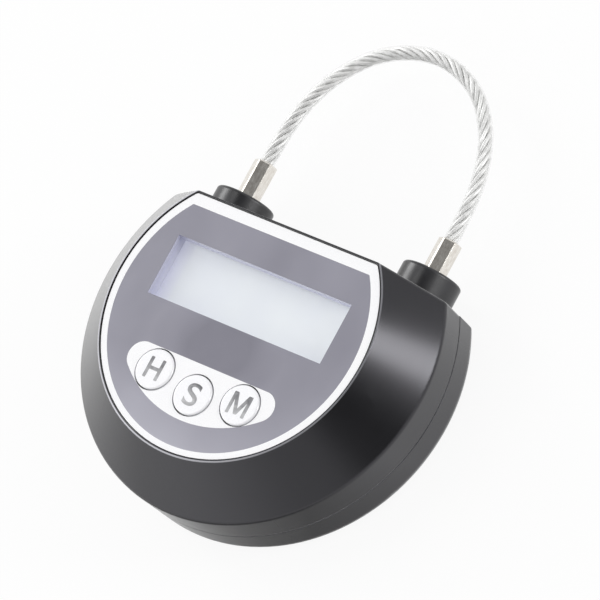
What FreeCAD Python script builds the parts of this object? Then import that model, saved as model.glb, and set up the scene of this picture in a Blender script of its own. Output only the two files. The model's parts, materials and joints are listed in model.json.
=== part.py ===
"""Timer padlock with a wire-rope shackle, as a parametric document in millimetres.

The lock lies on its back. The origin is the centre of the round outline on the back face,
+X runs from the hour key to the minute key, +Y towards the shackle and +Z out of the display.
"""
import FreeCAD, Part
import math
import os
import re
import Sketcher
from FreeCAD import Placement, Rotation, Vector

doc = FreeCAD.newDocument("TimerPadlock")
sheet = doc.addObject("Spreadsheet::Sheet", "Sizes")

SIZES = {
    # case: a round body with a flat top, whose flank is a cone up to the display
    "parting_height": 8.0,     # plane between the shells, and the shackle's plane
    "edge_height": 14.7,       # lower edge of the cone
    "waist_radius": 35.4,      # at the parting plane
    "edge_flare": 0.3,         # wider at the cone's edge
    "back_taper": 0.3,         # narrower at the back
    "wall": 1.8,
    "rim_wall": 0.36,          # round the panel
    "rim_top_wall": 0.32,      # between the panel and the flat top
    "plate_wall": 1.2,         # behind the panel
    "back_round": 2.9,
    "edge_round": 1.2,
    "rim_round": 0.14,
    "parting_round": 0.2,
    "corner_round": 0.8,       # of the panel and the front shell, at the ends of the flat top
    # printed panel in the front
    "panel_radius": 27.04,
    "panel_chord": 17.78,      # from the centre to its straight edge
    "panel_sheet": 1.0,
    "panel_sink": 0.15,
    "panel_gap": 0.2,
    # display
    "window_width": 39.2,
    "window_height": 11.8,
    "window_middle": 3.6,
    "lcd_border": 1.2,
    "frame_web": 0.5,          # the frame over the lens
    "lens_sheet": 0.6,
    "glass_sheet": 1.8,
    "backlight_depth": 2.0,
    "strip_width": 1.2,
    "frame_wall": 1.2,
    "lip_wall": 1.0,
    "seat_gap": 0.1,
    # keys and their switches
    "key_radius": 3.8,
    "key_gap": 0.4,            # between the keys' ledges
    "key_row": -14.6,
    "key_shift": -0.5,         # the keys sit left of the middle
    "key_drop": 1.6,
    "key_proud": 0.35,
    "key_round": 0.3,
    "key_ledge": 0.85,
    "ledge_sheet": 0.6,
    "stem_radius": 1.5,
    "key_travel": 0.3,
    "switch_side": 4.6,
    "switch_height": 2.6,
    "plunger_radius": 1.25,
    "plunger_proud": 0.75,
    "plunger_seat": 0.45,
    "running_gap": 0.05,       # a shaft in its bearing, a pin in its socket
    "clear_gap": 0.3,          # pieces that pass each other
    # main board
    "board_sheet": 1.6,
    "board_boss_gap": 0.6,
    "board_wall_gap": 0.4,
    "post_radius": 1.7,
    "post_gap": 0.4,           # from a post to the display's frame
    "post_inset": 1.4,         # from a post to the board's edge
    "top_post_spread": 13.5,
    "low_post_row": -12.0,
    "board_screw_radius": 0.8,
    "board_screw_grip": 3.6,
    "board_head_radius": 1.6,
    "board_head_depth": 1.1,
    "chip_side": 7.0,
    "chip_depth": 1.2,
    "chip_across": -8.0,
    "chip_row": -6.0,
    "plug_width": 6.0,
    "plug_length": 4.5,
    "plug_depth": 4.0,
    "battery_plug_across": -10.5,
    "motor_plug_across": -3.0,
    "plug_row": 8.5,
    "buzzer_radius": 4.5,
    "buzzer_depth": 3.2,
    "buzzer_across": -4.0,
    "buzzer_row": -17.5,
    # charging socket
    "usb_width": 7.5,
    "usb_depth": 2.7,
    "usb_length": 5.5,
    "usb_sheet": 0.3,
    "usb_sink": 0.3,
    "tongue_width": 5.2,
    "tongue_sheet": 0.8,
    # case screws
    "boss_radius": 2.6,
    "boss_wall_gap": 1.8,
    "boss_row": -6.0,
    "screw_radius": 1.15,
    "screw_head_radius": 2.1,
    "screw_head_depth": 1.5,
    "screw_sink": 0.5,
    "screw_grip": 7.5,
    "recess_reach": 2.4,       # across the cross recess in a screw head
    "recess_width": 0.6,
    "recess_depth": 0.8,
    # shackle
    "shackle_spread": 21.3,
    "collar_radius": 5.74,
    "collar_height": 5.1,
    "collar_round": 0.6,
    "neck_radius": 4.2,
    "flange_reach": 1.0,       # the inner flange beyond the neck
    "flange_sheet": 1.5,
    "ferrule_corner": 2.3,
    "ferrule_sink": 2.2,       # the ferrule inside its collar
    "ferrule_length": 9.6,
    "ferrule_twist": 24.0,
    "crimp_depth": 5.4,
    "rope_radius": 1.4,
    "pin_radius": 2.2,
    "pin_point": 0.6,
    "spigot_radius": 1.4,
    "spigot_length": 3.0,
    "groove_core": 1.4,
    # socket blocks and latch
    "block_width": 10.4,
    "block_foot": 2.5,
    "block_end": 0.8,          # closes the pin's bore
    "block_base": 0.5,         # under the latch plate
    "block_roof": 1.5,         # over it
    "block_rib": 0.9,
    "block_rib_rise": 4.0,
    "latch_line": 8.25,
    "latch_sheet": 1.5,
    "latch_stroke": 3.0,
    "latch_margin": 1.7,
    "latch_edge": 1.1,         # over the pins' holes
    # drive: rack on the latch, pinion on the gear motor
    "tooth_module": 0.5,
    "rack_back": 2.8,          # the plate under the rack's teeth
    "rack_teeth": 7,
    "teeth_ahead": 2,          # of these, on the pinion's right at rest
    "pinion_teeth": 12,
    "tooth_play": 0.05,        # taken off each side of a tooth
    "tooth_foot": 0.6,         # below the pitch line
    "pressure_angle": 20.0,
    "root_relief": 0.35,       # share of the flank's slope that goes on below the pitch circle
    "pinion_width": 2.7,
    "motor_across": 9.0,
    "motor_width": 12.0,
    "motor_height": 10.0,
    "motor_length": 15.0,
    "gearbox_length": 9.0,
    "motor_cap_length": 1.5,
    "shaft_radius": 1.5,
    "shaft_tail": 4.0,         # inside the gearbox
    "shaft_show": 1.0,         # between gearbox and pinion
    "cradle_sheet": 1.6,
    "cradle_cheek": 1.2,
    "cradle_rise": 5.0,
    "motor_pad_width": 6.0,
    "motor_pad_length": 10.0,
    "motor_pad_sheet": 1.15,
    # battery
    "cell_width": 18.0,
    "cell_length": 24.0,
    "cell_depth": 6.0,
    "pad_sheet": 0.5,
    "pad_margin": 0.9,
}

for row, (alias, number) in enumerate(SIZES.items(), start=1):
    sheet.set(f"A{row}", alias)
    sheet.set(f"B{row}", str(number))
    sheet.setAlias(f"B{row}", alias)
doc.recompute()

# Levels and lines that several pieces share, from the back face up to the display
LATCH_FOOT = "(wall + block_base + clear_gap)"
LATCH_HOLE = "(pin_radius + clear_gap)"
LATCH_SLOT = "(groove_core + clear_gap)"
LATCH_GAP = "(latch_sheet / 2 + clear_gap)"
LATCH_HEAD = f"(parting_height + {LATCH_HOLE} + latch_edge)"
TOOTH_PITCH = "(pi * tooth_module)"
RACK_LINE = f"({LATCH_FOOT} + rack_back + tooth_foot)"
PINION_RADIUS = "(tooth_module * pinion_teeth / 2)"
PINION_HEIGHT = f"({RACK_LINE} + {PINION_RADIUS})"
MOTOR_FOOT = f"({PINION_HEIGHT} - motor_height / 2)"
MOTOR_TOP = f"({PINION_HEIGHT} + motor_height / 2)"
BOARD_FOOT = f"({MOTOR_TOP} + motor_pad_sheet)"
BOARD_TOP = f"({BOARD_FOOT} + board_sheet)"
GLASS_FOOT = f"({BOARD_TOP} + backlight_depth)"
LENS_FOOT = f"({GLASS_FOOT} + glass_sheet)"
LENS_TOP = f"({LENS_FOOT} + lens_sheet)"
PLATE_FOOT = f"({LENS_TOP} + frame_web)"
PANEL_FOOT = f"({PLATE_FOOT} + plate_wall)"
PANEL_TOP = f"({PANEL_FOOT} + panel_sheet)"
CASE_DEPTH = f"({PANEL_TOP} + panel_sink)"
KEY_TOP = f"({PANEL_TOP} + key_proud)"
LEDGE_TOP = f"({PLATE_FOOT} - running_gap)"
SWITCH_TOP = f"({BOARD_TOP} + switch_height)"
PLUNGER_TOP = f"({SWITCH_TOP} + plunger_proud)"
BLOCK_TOP = f"({LATCH_HEAD} + clear_gap + block_roof)"
CELL_FOOT = "(wall + pad_sheet)"

# Across the case, and along it from the back of the motor to the ferrules
EDGE_RADIUS = "(waist_radius + edge_flare)"
BACK_RADIUS = "(waist_radius - back_taper)"
RIM_RADIUS = "(panel_radius + panel_gap + rim_wall)"
FLANK_SLOPE = f"(({EDGE_RADIUS} - {RIM_RADIUS}) / ({CASE_DEPTH} - edge_height))"
FLANK_WALL = f"(wall * sqrt(1 + {FLANK_SLOPE} * {FLANK_SLOPE}))"
FLAT_TOP = "(panel_chord + panel_gap + rim_top_wall)"
INNER_TOP = f"({FLAT_TOP} - wall)"
BOSS_RING = "(waist_radius - wall - boss_wall_gap - boss_radius)"
BOSS_SPREAD = f"sqrt({BOSS_RING} * {BOSS_RING} - boss_row * boss_row)"
BOARD_RADIUS = f"({BOSS_RING} - boss_radius - board_boss_gap)"
BOARD_CHORD = f"({INNER_TOP} - board_wall_gap)"
POST_RING = f"({BOARD_RADIUS} - post_inset - post_radius)"
LOW_POST_SPREAD = f"sqrt({POST_RING} * {POST_RING} - low_post_row * low_post_row)"
OUTSIDE = "(waist_radius * 2)"
LCD_WIDTH = "(window_width + 2 * lcd_border)"
LCD_HEIGHT = "(window_height + 2 * lcd_border)"
LCD_LOW = f"(window_middle - {LCD_HEIGHT} / 2)"
LCD_HIGH = f"(window_middle + {LCD_HEIGHT} / 2)"
TOP_POST_ROW = f"({LCD_HIGH} + frame_wall + post_gap + post_radius)"
KEY_SPREAD = "(2 * (key_radius + key_ledge) + key_gap)"
COLLAR_BORE = "(ferrule_corner + clear_gap)"
FLANGE_FOOT = f"({INNER_TOP} - flange_sheet)"
COLLAR_TOP = f"({FLAT_TOP} + collar_height)"
FERRULE_FOOT = f"({COLLAR_TOP} - ferrule_sink)"
FERRULE_TOP = f"({FERRULE_FOOT} + ferrule_length)"
PIN_FOOT = "(block_foot + block_end + clear_gap)"
GEARBOX_FACE = "(latch_line - pinion_width / 2 - shaft_show)"
GEARBOX_BACK = f"({GEARBOX_FACE} - gearbox_length)"
CAN_BACK = f"({GEARBOX_BACK} - motor_length)"
MOTOR_LEFT = "(motor_across - motor_width / 2)"
MOTOR_RIGHT = "(motor_across + motor_width / 2)"
CELL_ACROSS = f"({MOTOR_LEFT} - cradle_cheek - clear_gap - cell_width / 2)"
CELL_ROW = "(block_foot - block_rib - seat_gap - cell_length / 2)"

TO_PLUS_Y = Rotation(Vector(1, 0, 0), -90)
TO_MINUS_Y = Rotation(Vector(1, 0, 0), 90)
KEYS = {"hour": -1, "set": 0, "minute": 1}
SIDES = {"left": -1, "right": 1}


def formula(text):
    """The text with each alias written as a cell of the sheet."""
    def cell(word):
        return f"Sizes.{word.group()}" if word.group() in SIZES else word.group()
    return re.sub(r"[a-z_]+", cell, str(text))


def value(text):
    """What the formula comes to, in millimetres."""
    return float(sheet.evalExpression(formula(text)))


def bind(piece, **sizes):
    """Tie the piece's properties to formulas."""
    for name, text in sizes.items():
        piece.setExpression(name, formula(text))
    return piece


def place(piece, at, turn=None):
    """Put the piece's own origin at three formulas, turned if asked."""
    if turn is not None:
        piece.Placement = Placement(Vector(), turn)
    for axis, text in zip("xyz", at):
        piece.setExpression(f"Placement.Base.{axis}", formula(text))
    return piece


def box(name, x, y, z):
    """A block between three pairs of formulas."""
    block = doc.addObject("Part::Box", name)
    for side, (low, high) in zip(("Length", "Width", "Height"), (x, y, z)):
        block.setExpression(side, formula(f"({high}) - ({low})"))
    return place(block, (x[0], y[0], z[0]))


def centred_box(name, middle, width, row, length, z):
    """A block given by the middle and size of its plan, and its two levels."""
    return box(name, (f"({middle}) - ({width}) / 2", f"({middle}) + ({width}) / 2"),
               (f"({row}) - ({length}) / 2", f"({row}) + ({length}) / 2"), z)


def rod(name, radius, length, foot, turn=None):
    """A cylinder from its foot, upright unless turned."""
    cylinder = doc.addObject("Part::Cylinder", name)
    bind(cylinder, Radius=radius, Height=length)
    return place(cylinder, foot, turn)


def fuse(name, pieces):
    """One solid from touching pieces."""
    whole = doc.addObject("Part::MultiFuse", name)
    whole.Shapes = pieces
    whole.Refine = True
    return whole


def cut(name, base, tools):
    """The base without the tools."""
    tool = tools[0]
    if len(tools) > 1:
        tool = fuse(f"{name}_tools", tools)
    rest = doc.addObject("Part::Cut", name)
    rest.Base = base
    rest.Tool = tool
    return rest


def common(name, pieces):
    """What all the pieces share."""
    shared = doc.addObject("Part::MultiCommon", name)
    shared.Shapes = pieces
    return shared


def group(name, solids):
    """Separate identical solids in one node."""
    compound = doc.addObject("Part::Compound", name)
    compound.Links = solids
    return compound


def origin_plane(body, role):
    """The body's own plane of that role."""
    return next(plane for plane in body.Origin.OriginFeatures if plane.Role == role)


def new_sketch(body, name, role, height="0"):
    """An empty sketch on one of the body's planes, lifted along the plane's normal."""
    sketch = body.newObject("Sketcher::SketchObject", name)
    sketch.AttachmentSupport = [(origin_plane(body, role), "")]
    sketch.MapMode = "FlatFace"
    sketch.setExpression("AttachmentOffset.Base.z", formula(height))
    return sketch


def fix_point(sketch, edge, end, x, y):
    """Dimension a point of the sketch from its origin."""
    for kind, text in (("DistanceX", x), ("DistanceY", y)):
        number = sketch.addConstraint(Sketcher.Constraint(kind, -1, 1, edge, end, value(text)))
        sketch.setExpression(f"Constraints[{number}]", formula(text))


def outline(sketch, corners):
    """Draw a closed outline of straight lines through pairs of formulas."""
    points = [Vector(value(x), value(y), 0) for x, y in corners]
    first = sketch.GeometryCount
    count = len(points)
    for index in range(count):
        sketch.addGeometry(Part.LineSegment(points[index], points[(index + 1) % count]), False)
    for index in range(count):
        following = first + (index + 1) % count
        sketch.addConstraint(Sketcher.Constraint("Coincident", first + index, 2, following, 1))
    for index, (x, y) in enumerate(corners):
        fix_point(sketch, first + index, 1, x, y)
    return sketch


def circle(sketch, x, y, radius):
    """Draw a dimensioned circle."""
    centre = Vector(value(x), value(y), 0)
    edge = sketch.addGeometry(Part.Circle(centre, Vector(0, 0, 1), value(radius)), False)
    fix_point(sketch, edge, 3, x, y)
    number = sketch.addConstraint(Sketcher.Constraint("Radius", edge, value(radius)))
    sketch.setExpression(f"Constraints[{number}]", formula(radius))
    return sketch


def round_with_chord(sketch, radius, chord):
    """Draw a circle about the origin, cut off by a level chord above it."""
    reach = f"sqrt({radius} * {radius} - {chord} * {chord})"
    right = Vector(value(reach), value(chord), 0)
    left = Vector(-right.x, right.y, 0)
    turn = math.asin(right.y / value(radius))
    whole = Part.Circle(Vector(), Vector(0, 0, 1), value(radius))
    sketch.addGeometry(Part.ArcOfCircle(whole, math.pi - turn, 2 * math.pi + turn), False)
    sketch.addGeometry(Part.LineSegment(right, left), False)
    sketch.addConstraint(Sketcher.Constraint("Coincident", 0, 3, -1, 1))
    sketch.addConstraint(Sketcher.Constraint("Coincident", 0, 2, 1, 1))
    sketch.addConstraint(Sketcher.Constraint("Coincident", 1, 2, 0, 1))
    sketch.addConstraint(Sketcher.Constraint("Horizontal", 1))
    for kind, first, second, text in (("Radius", 0, None, radius), ("DistanceY", 1, 1, chord)):
        if second is None:
            number = sketch.addConstraint(Sketcher.Constraint(kind, first, value(text)))
        else:
            number = sketch.addConstraint(Sketcher.Constraint(kind, -1, 1, first, second, value(text)))
        sketch.setExpression(f"Constraints[{number}]", formula(text))
    return sketch


def feature(body, kind, name, sketch, **sizes):
    """A PartDesign feature made from a sketch."""
    made = body.newObject(f"PartDesign::{kind}", name)
    made.Profile = sketch
    bind(made, **sizes)
    doc.recompute()
    return made


def turned(name, profile):
    """A body of revolution about its own Z, from a profile of (radius, height) formulas."""
    body = doc.addObject("PartDesign::Body", name)
    sketch = outline(new_sketch(body, f"{name}_profile", "YZ_Plane"), profile)
    revolution = body.newObject("PartDesign::Revolution", f"{name}_turning")
    revolution.Profile = sketch
    revolution.ReferenceAxis = (sketch, ["V_Axis"])
    revolution.Angle = 360
    doc.recompute()
    return body


def stack(steps):
    """The profile of a solid turned piece: (radius, upper level) steps above a first level."""
    low, levels = steps[0], steps[1:]
    profile = [("0", low)]
    for radius, high in levels:
        profile += [(radius, low), (radius, high)]
        low = high
    return profile + [("0", low)]


def round_edges(body, radius, wanted):
    """Round the edges of the body's tip that the test picks."""
    base = body.Tip
    names = [f"Edge{index}" for index, edge in enumerate(base.Shape.Edges, start=1) if wanted(edge)]
    fillet = body.newObject("PartDesign::Fillet", f"{body.Name}_round")
    fillet.Base = (base, names)
    bind(fillet, Radius=radius)
    doc.recompute()
    return body


def at_level(text, outer=None):
    """A test for the edges that lie wholly at one level, at or beyond an outer reach."""
    level = value(text)

    def wanted(edge):
        bounds = edge.BoundBox
        level_edge = abs(bounds.ZMin - level) < 0.01 and abs(bounds.ZMax - level) < 0.01
        return level_edge and (outer is None or edge.BoundBox.DiagonalLength > value(outer))
    return wanted


def at_flat(text):
    """A test for the edges that run down the plane of a flat top."""
    row = value(text)

    def wanted(edge):
        bounds = edge.BoundBox
        return abs(bounds.YMin - row) < 0.01 and abs(bounds.YMax - row) < 0.01 and bounds.ZLength > 0.05
    return wanted


def case_form(name, profile, flat):
    """A turned form with its top side cut flat."""
    body = turned(name, profile)
    bounds = body.Shape.BoundBox
    sketch = new_sketch(body, f"{name}_flat", "XY_Plane", f"{CASE_DEPTH} * 2")
    outline(sketch, [(f"-{OUTSIDE}", flat), (OUTSIDE, flat), (OUTSIDE, OUTSIDE), (f"-{OUTSIDE}", OUTSIDE)])
    feature(body, "Pocket", f"{name}_trim", sketch, Length=f"{CASE_DEPTH} * 4")
    assert body.Shape.BoundBox.YMax < bounds.YMax
    return body


def plate(name, radius, chord, foot, thickness):
    """A flat sheet in the shape of the case's front."""
    body = doc.addObject("PartDesign::Body", name)
    sketch = round_with_chord(new_sketch(body, f"{name}_outline", "XY_Plane", foot), radius, chord)
    feature(body, "Pad", f"{name}_sheet", sketch, Length=thickness)
    return body


def key_place(side):
    """Where a key's axis stands: the middle one sits lower."""
    return f"key_shift + {side} * {KEY_SPREAD}", f"key_row - {1 - abs(side)} * key_drop"


def window(name, margin, z):
    """A block the size of the display window with a margin all round."""
    return centred_box(name, "0", f"(window_width + 2 * ({margin}))",
                       "window_middle", f"(window_height + 2 * ({margin}))", z)


def lcd_block(name, margin, z):
    """A block the size of the display cell with a margin all round."""
    return centred_box(name, "0", f"({LCD_WIDTH} + 2 * ({margin}))",
                       "window_middle", f"({LCD_HEIGHT} + 2 * ({margin}))", z)


def key_holes(name, radius, foot, length):
    """Three upright cylinders at the keys."""
    return [rod(f"{name}_{key}", radius, length, (*key_place(side), foot)) for key, side in KEYS.items()]


def collar_holes(name):
    """Two cylinders along Y where the collars' necks pass the case's top wall."""
    return [rod(f"{name}_{label}", "neck_radius + running_gap", "wall * 3",
                (f"{side} * shackle_spread", f"{FLAT_TOP} - wall * 2", "parting_height"), TO_PLUS_Y)
            for label, side in SIDES.items()]


BOSSES = {"left": (f"-{BOSS_SPREAD}", "boss_row"), "right": (BOSS_SPREAD, "boss_row"),
          "low": ("0", f"-{BOSS_RING}")}
POSTS = {f"{end}_{label}": (f"{side} * {spread}", row) for label, side in SIDES.items()
         for end, spread, row in (("top", "top_post_spread", TOP_POST_ROW),
                                  ("low", LOW_POST_SPREAD, "low_post_row"))}


def front_shell():
    """The front shell: cone, rim, the wall behind the panel, screw bosses and board posts."""
    outer = case_form("front_form", [("0", "parting_height"), ("waist_radius", "parting_height"),
                                     (EDGE_RADIUS, "edge_height"), (RIM_RADIUS, CASE_DEPTH),
                                     ("0", CASE_DEPTH)], FLAT_TOP)
    round_edges(outer, "edge_round", at_level("edge_height", EDGE_RADIUS))
    round_edges(outer, "corner_round", at_flat(FLAT_TOP))
    round_edges(outer, "rim_round", at_level(CASE_DEPTH, RIM_RADIUS))
    round_edges(outer, "parting_round", at_level("parting_height"))
    recess = new_sketch(outer, "front_recess", "XY_Plane", CASE_DEPTH)
    round_with_chord(recess, "(panel_radius + panel_gap)", "(panel_chord + panel_gap)")
    feature(outer, "Pocket", "front_recess_cut", recess, Length="panel_sink + panel_sheet")
    round_edges(outer, "(corner_round + panel_gap)", at_flat("(panel_chord + panel_gap)"))
    cavity = case_form("front_cavity", [
        ("0", "parting_height - wall"), ("waist_radius - wall", "parting_height - wall"),
        ("waist_radius - wall", "parting_height"), (f"{EDGE_RADIUS} - {FLANK_WALL}", "edge_height"),
        (f"{EDGE_RADIUS} - {FLANK_WALL} - ({PLATE_FOOT} - edge_height) * {FLANK_SLOPE}", PLATE_FOOT),
        ("0", PLATE_FOOT)], INNER_TOP)
    hollow = cut("front_hollow", outer, [cavity])
    bosses = [common(f"front_boss_{name}", [outer, rod(f"front_boss_{name}_rod", "boss_radius",
                                                       f"{PLATE_FOOT} - parting_height",
                                                       (x, y, "parting_height"))])
              for name, (x, y) in BOSSES.items()]
    posts = [rod(f"front_post_{name}", "post_radius", f"{PLATE_FOOT} - {BOARD_TOP} + plate_wall / 2",
                 (x, y, BOARD_TOP)) for name, (x, y) in POSTS.items()]
    solid = fuse("front_solid", [hollow, *bosses, *posts])
    bores = [rod(f"front_bore_{name}", "screw_radius + running_gap", "screw_grip + running_gap",
                 (x, y, "parting_height")) for name, (x, y) in BOSSES.items()]
    bores += [rod(f"front_post_bore_{name}", "board_screw_radius + running_gap",
                  "board_screw_grip + running_gap", (x, y, BOARD_TOP)) for name, (x, y) in POSTS.items()]
    opening = window("front_window", "lip_wall + seat_gap", (f"{PLATE_FOOT} - wall", CASE_DEPTH))
    keys = key_holes("front_key", "key_radius + clear_gap", f"{PLATE_FOOT} - wall", "wall * 3")
    port = centred_box("front_port", "0", "(usb_width + 2 * clear_gap)", FLAT_TOP, "(4 * wall)",
                       (f"{BOARD_FOOT} - usb_depth - clear_gap", f"{BOARD_FOOT} + clear_gap"))
    return cut("front_shell", solid, [*bores, opening, *keys, port, *collar_holes("front_neck")])


def back_shell():
    """The back shell: screw bosses with sunk heads and a cradle for the gear motor."""
    outer = case_form("back_form", [("0", "0"), (BACK_RADIUS, "0"), ("waist_radius", "parting_height"),
                                    ("0", "parting_height")], FLAT_TOP)
    round_edges(outer, "back_round", at_level("0"))
    round_edges(outer, "parting_round", at_level("parting_height"))
    cavity = case_form("back_cavity", [("0", "wall"), (f"{BACK_RADIUS} - wall", "wall"),
                                       ("waist_radius - wall", "parting_height"),
                                       ("waist_radius - wall", "parting_height + wall"),
                                       ("0", "parting_height + wall")], INNER_TOP)
    hollow = cut("back_hollow", outer, [cavity])
    bosses = [rod(f"back_boss_{name}", "boss_radius", "parting_height - wall / 2", (x, y, "wall / 2"))
              for name, (x, y) in BOSSES.items()]
    ribs = [centred_box(f"back_rib_{label}", f"{side} * shackle_spread", "block_width",
                        "block_foot - block_rib / 2", "block_rib", ("wall / 2", "wall + block_rib_rise"))
            for label, side in SIDES.items()]
    solid = fuse("back_solid", [hollow, *bosses, *ribs, *motor_cradles()])
    heads = [rod(f"back_head_{name}", "screw_head_radius + running_gap * 2",
                 "screw_head_depth + screw_sink + wall", (x, y, "-wall")) for name, (x, y) in BOSSES.items()]
    shanks = [rod(f"back_shank_{name}", "screw_radius + running_gap * 2", "parting_height * 2",
                  (x, y, "-wall")) for name, (x, y) in BOSSES.items()]
    return cut("back_shell", solid, [*heads, *shanks, *collar_holes("back_neck")])


def motor_cradles():
    """Two ribs that carry the gear motor, each with a cheek on either side of it."""
    cradles = []
    for name, back in (("can", CAN_BACK), ("gearbox", GEARBOX_BACK)):
        row = f"({back} + cradle_sheet * 2)"
        rib = centred_box(f"cradle_{name}", "motor_across", "motor_width + 2 * cradle_cheek", row,
                          "cradle_sheet", ("wall / 2", f"{MOTOR_FOOT} + cradle_rise"))
        seat = centred_box(f"cradle_{name}_seat", "motor_across", "motor_width", row, "cradle_sheet * 3",
                           (MOTOR_FOOT, MOTOR_TOP))
        cradles.append(cut(f"cradle_{name}_rib", rib, [seat]))
    return cradles


def cross_recess(name, x, y, foot):
    """Two crossed slots for a screwdriver, sunk into a head from below."""
    return [centred_box(f"{name}_{way}", x, reach, y, across, (f"{foot} - wall", f"{foot} + recess_depth"))
            for way, reach, across in (("along", "recess_reach", "recess_width"),
                                       ("across", "recess_width", "recess_reach"))]


def case_screws():
    """Three pan-head screws from the back into the front shell's bosses."""
    seat = "(screw_head_depth + screw_sink)"
    screws = []
    for name, (x, y) in BOSSES.items():
        blank = turned(f"case_screw_{name}_blank", stack([
            "screw_sink", ("screw_head_radius", seat), ("screw_radius", "parting_height + screw_grip")]))
        screws.append(cut(f"case_screw_{name}", place(blank, (x, y, "0")),
                          cross_recess(f"case_recess_{name}", x, y, "screw_sink")))
    return group("case_screws", screws)


def front_panel():
    """The printed sheet, with the window and the three key holes."""
    sheet_body = plate("panel_form", "panel_radius", "panel_chord", PANEL_FOOT, "panel_sheet")
    round_edges(sheet_body, "corner_round", at_flat("panel_chord"))
    opening = window("panel_window", "0", (f"{PANEL_FOOT} - wall", CASE_DEPTH))
    holes = key_holes("panel_key", "key_radius + clear_gap", f"{PANEL_FOOT} - wall", "wall * 3")
    return cut("front_panel", sheet_body, [opening, *holes])


def display():
    """Frame with its lip, lens, glass cell, backlight and the two contact strips."""
    skirt = lcd_block("frame_skirt", "frame_wall", (BOARD_TOP, PLATE_FOOT))
    seat = lcd_block("frame_seat", "seat_gap", (f"{BOARD_TOP} - wall", LENS_TOP))
    lip = window("frame_lip", "lip_wall", (PLATE_FOOT, PANEL_FOOT))
    sight = window("frame_sight", "0", (LENS_FOOT, CASE_DEPTH))
    frame = cut("lcd_frame", fuse("frame_solid", [cut("frame_ring", skirt, [seat]), lip]), [sight])
    lens = lcd_block("window_lens", "0", (LENS_FOOT, LENS_TOP))
    glass = lcd_block("lcd_glass", "0", (GLASS_FOOT, LENS_FOOT))
    light = box("backlight", (f"-{LCD_WIDTH} / 2", f"{LCD_WIDTH} / 2"),
                (f"{LCD_LOW} + strip_width + seat_gap", f"{LCD_HIGH} - strip_width - seat_gap"),
                (BOARD_TOP, GLASS_FOOT))
    strips = [box(f"contact_strip_{name}", ("-window_width / 2", "window_width / 2"), span,
                  (BOARD_TOP, GLASS_FOOT))
              for name, span in (("low", (LCD_LOW, f"{LCD_LOW} + strip_width")),
                                 ("top", (f"{LCD_HIGH} - strip_width", LCD_HIGH)))]
    return [frame, lens, glass, light, group("contact_strips", strips)]


def keys():
    """For each key a cap with its stem and ledge, a switch body and the plunger between them."""
    made = []
    for name, side in KEYS.items():
        x, y = key_place(side)
        cap = turned(f"key_{name}", stack([PLUNGER_TOP, ("stem_radius", f"{LEDGE_TOP} - ledge_sheet"),
                                           ("key_radius + key_ledge", LEDGE_TOP), ("key_radius", KEY_TOP)]))
        round_edges(cap, "key_round", at_level(KEY_TOP))
        body = centred_box(f"switch_{name}_block", x, "switch_side", y, "switch_side",
                           (BOARD_TOP, SWITCH_TOP))
        plunger_foot = f"({SWITCH_TOP} - plunger_seat)"
        depth = "(plunger_seat + key_travel + running_gap)"
        bore = rod(f"switch_{name}_bore", "plunger_radius + running_gap", f"{depth} + wall",
                   (x, y, f"{SWITCH_TOP} - {depth}"))
        plunger = rod(f"plunger_{name}", "plunger_radius", f"{PLUNGER_TOP} - {plunger_foot}",
                      (x, y, plunger_foot))
        made += [place(cap, (x, y, "0")), cut(f"switch_{name}", body, [bore]), plunger]
    return made


def main_board():
    """The board with its screws, its controller chip, the two plugs and the buzzer beneath it."""
    blank = plate("board_form", BOARD_RADIUS, BOARD_CHORD, BOARD_FOOT, "board_sheet")
    holes = [rod(f"board_hole_{name}", "board_screw_radius + seat_gap", "board_sheet * 3",
                 (x, y, f"{BOARD_FOOT} - board_sheet")) for name, (x, y) in POSTS.items()]
    board = cut("main_board", blank, holes)
    profile = stack([f"{BOARD_FOOT} - board_head_depth", ("board_head_radius", BOARD_FOOT),
                     ("board_screw_radius", f"{BOARD_TOP} + board_screw_grip")])
    screws = [place(turned(f"board_screw_{name}", profile), (x, y, "0")) for name, (x, y) in POSTS.items()]
    chip = centred_box("controller_chip", "chip_across", "chip_side", "chip_row", "chip_side",
                       (f"{BOARD_FOOT} - chip_depth", BOARD_FOOT))
    plugs = [centred_box(f"{name}_plug", f"{name}_plug_across", "plug_width", "plug_row", "plug_length",
                         (f"{BOARD_FOOT} - plug_depth", BOARD_FOOT)) for name in ("battery", "motor")]
    buzzer = rod("buzzer", "buzzer_radius", "buzzer_depth",
                 ("buzzer_across", "buzzer_row", f"{BOARD_FOOT} - buzzer_depth"))
    return [board, group("board_screws", screws), chip, *plugs, buzzer]


def charging_socket():
    """The metal charging socket under the board's edge, and the tongue inside it."""
    mouth = f"({FLAT_TOP} - usb_sink)"
    back = f"({mouth} - usb_length)"
    half = "(usb_width / 2)"
    foot = f"({BOARD_FOOT} - usb_depth)"
    shell = box("usb_block", (f"-{half}", half), (back, mouth), (foot, BOARD_FOOT))
    hollow = box("usb_hollow", (f"usb_sheet - {half}", f"{half} - usb_sheet"),
                 (f"{back} + usb_sheet", f"{mouth} + wall"),
                 (f"{foot} + usb_sheet", f"{BOARD_FOOT} - usb_sheet"))
    middle = f"({BOARD_FOOT} - usb_depth / 2)"
    tongue = box("usb_tongue", ("-tongue_width / 2", "tongue_width / 2"),
                 (f"{back} + usb_sheet", f"{mouth} - usb_sheet * 3"),
                 (f"{middle} - tongue_sheet / 2", f"{middle} + tongue_sheet / 2"))
    return [cut("usb_socket", shell, [hollow]), tongue]


def battery():
    """The flat cell on its foam pad, stuck to the back shell's floor."""
    pad = centred_box("battery_pad", CELL_ACROSS, "(cell_width - 2 * pad_margin)",
                      CELL_ROW, "(cell_length - 2 * pad_margin)", ("wall", CELL_FOOT))
    cell = centred_box("battery_cell", CELL_ACROSS, "cell_width", CELL_ROW, "cell_length",
                       (CELL_FOOT, f"{CELL_FOOT} + cell_depth"))
    return [pad, cell]


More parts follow.
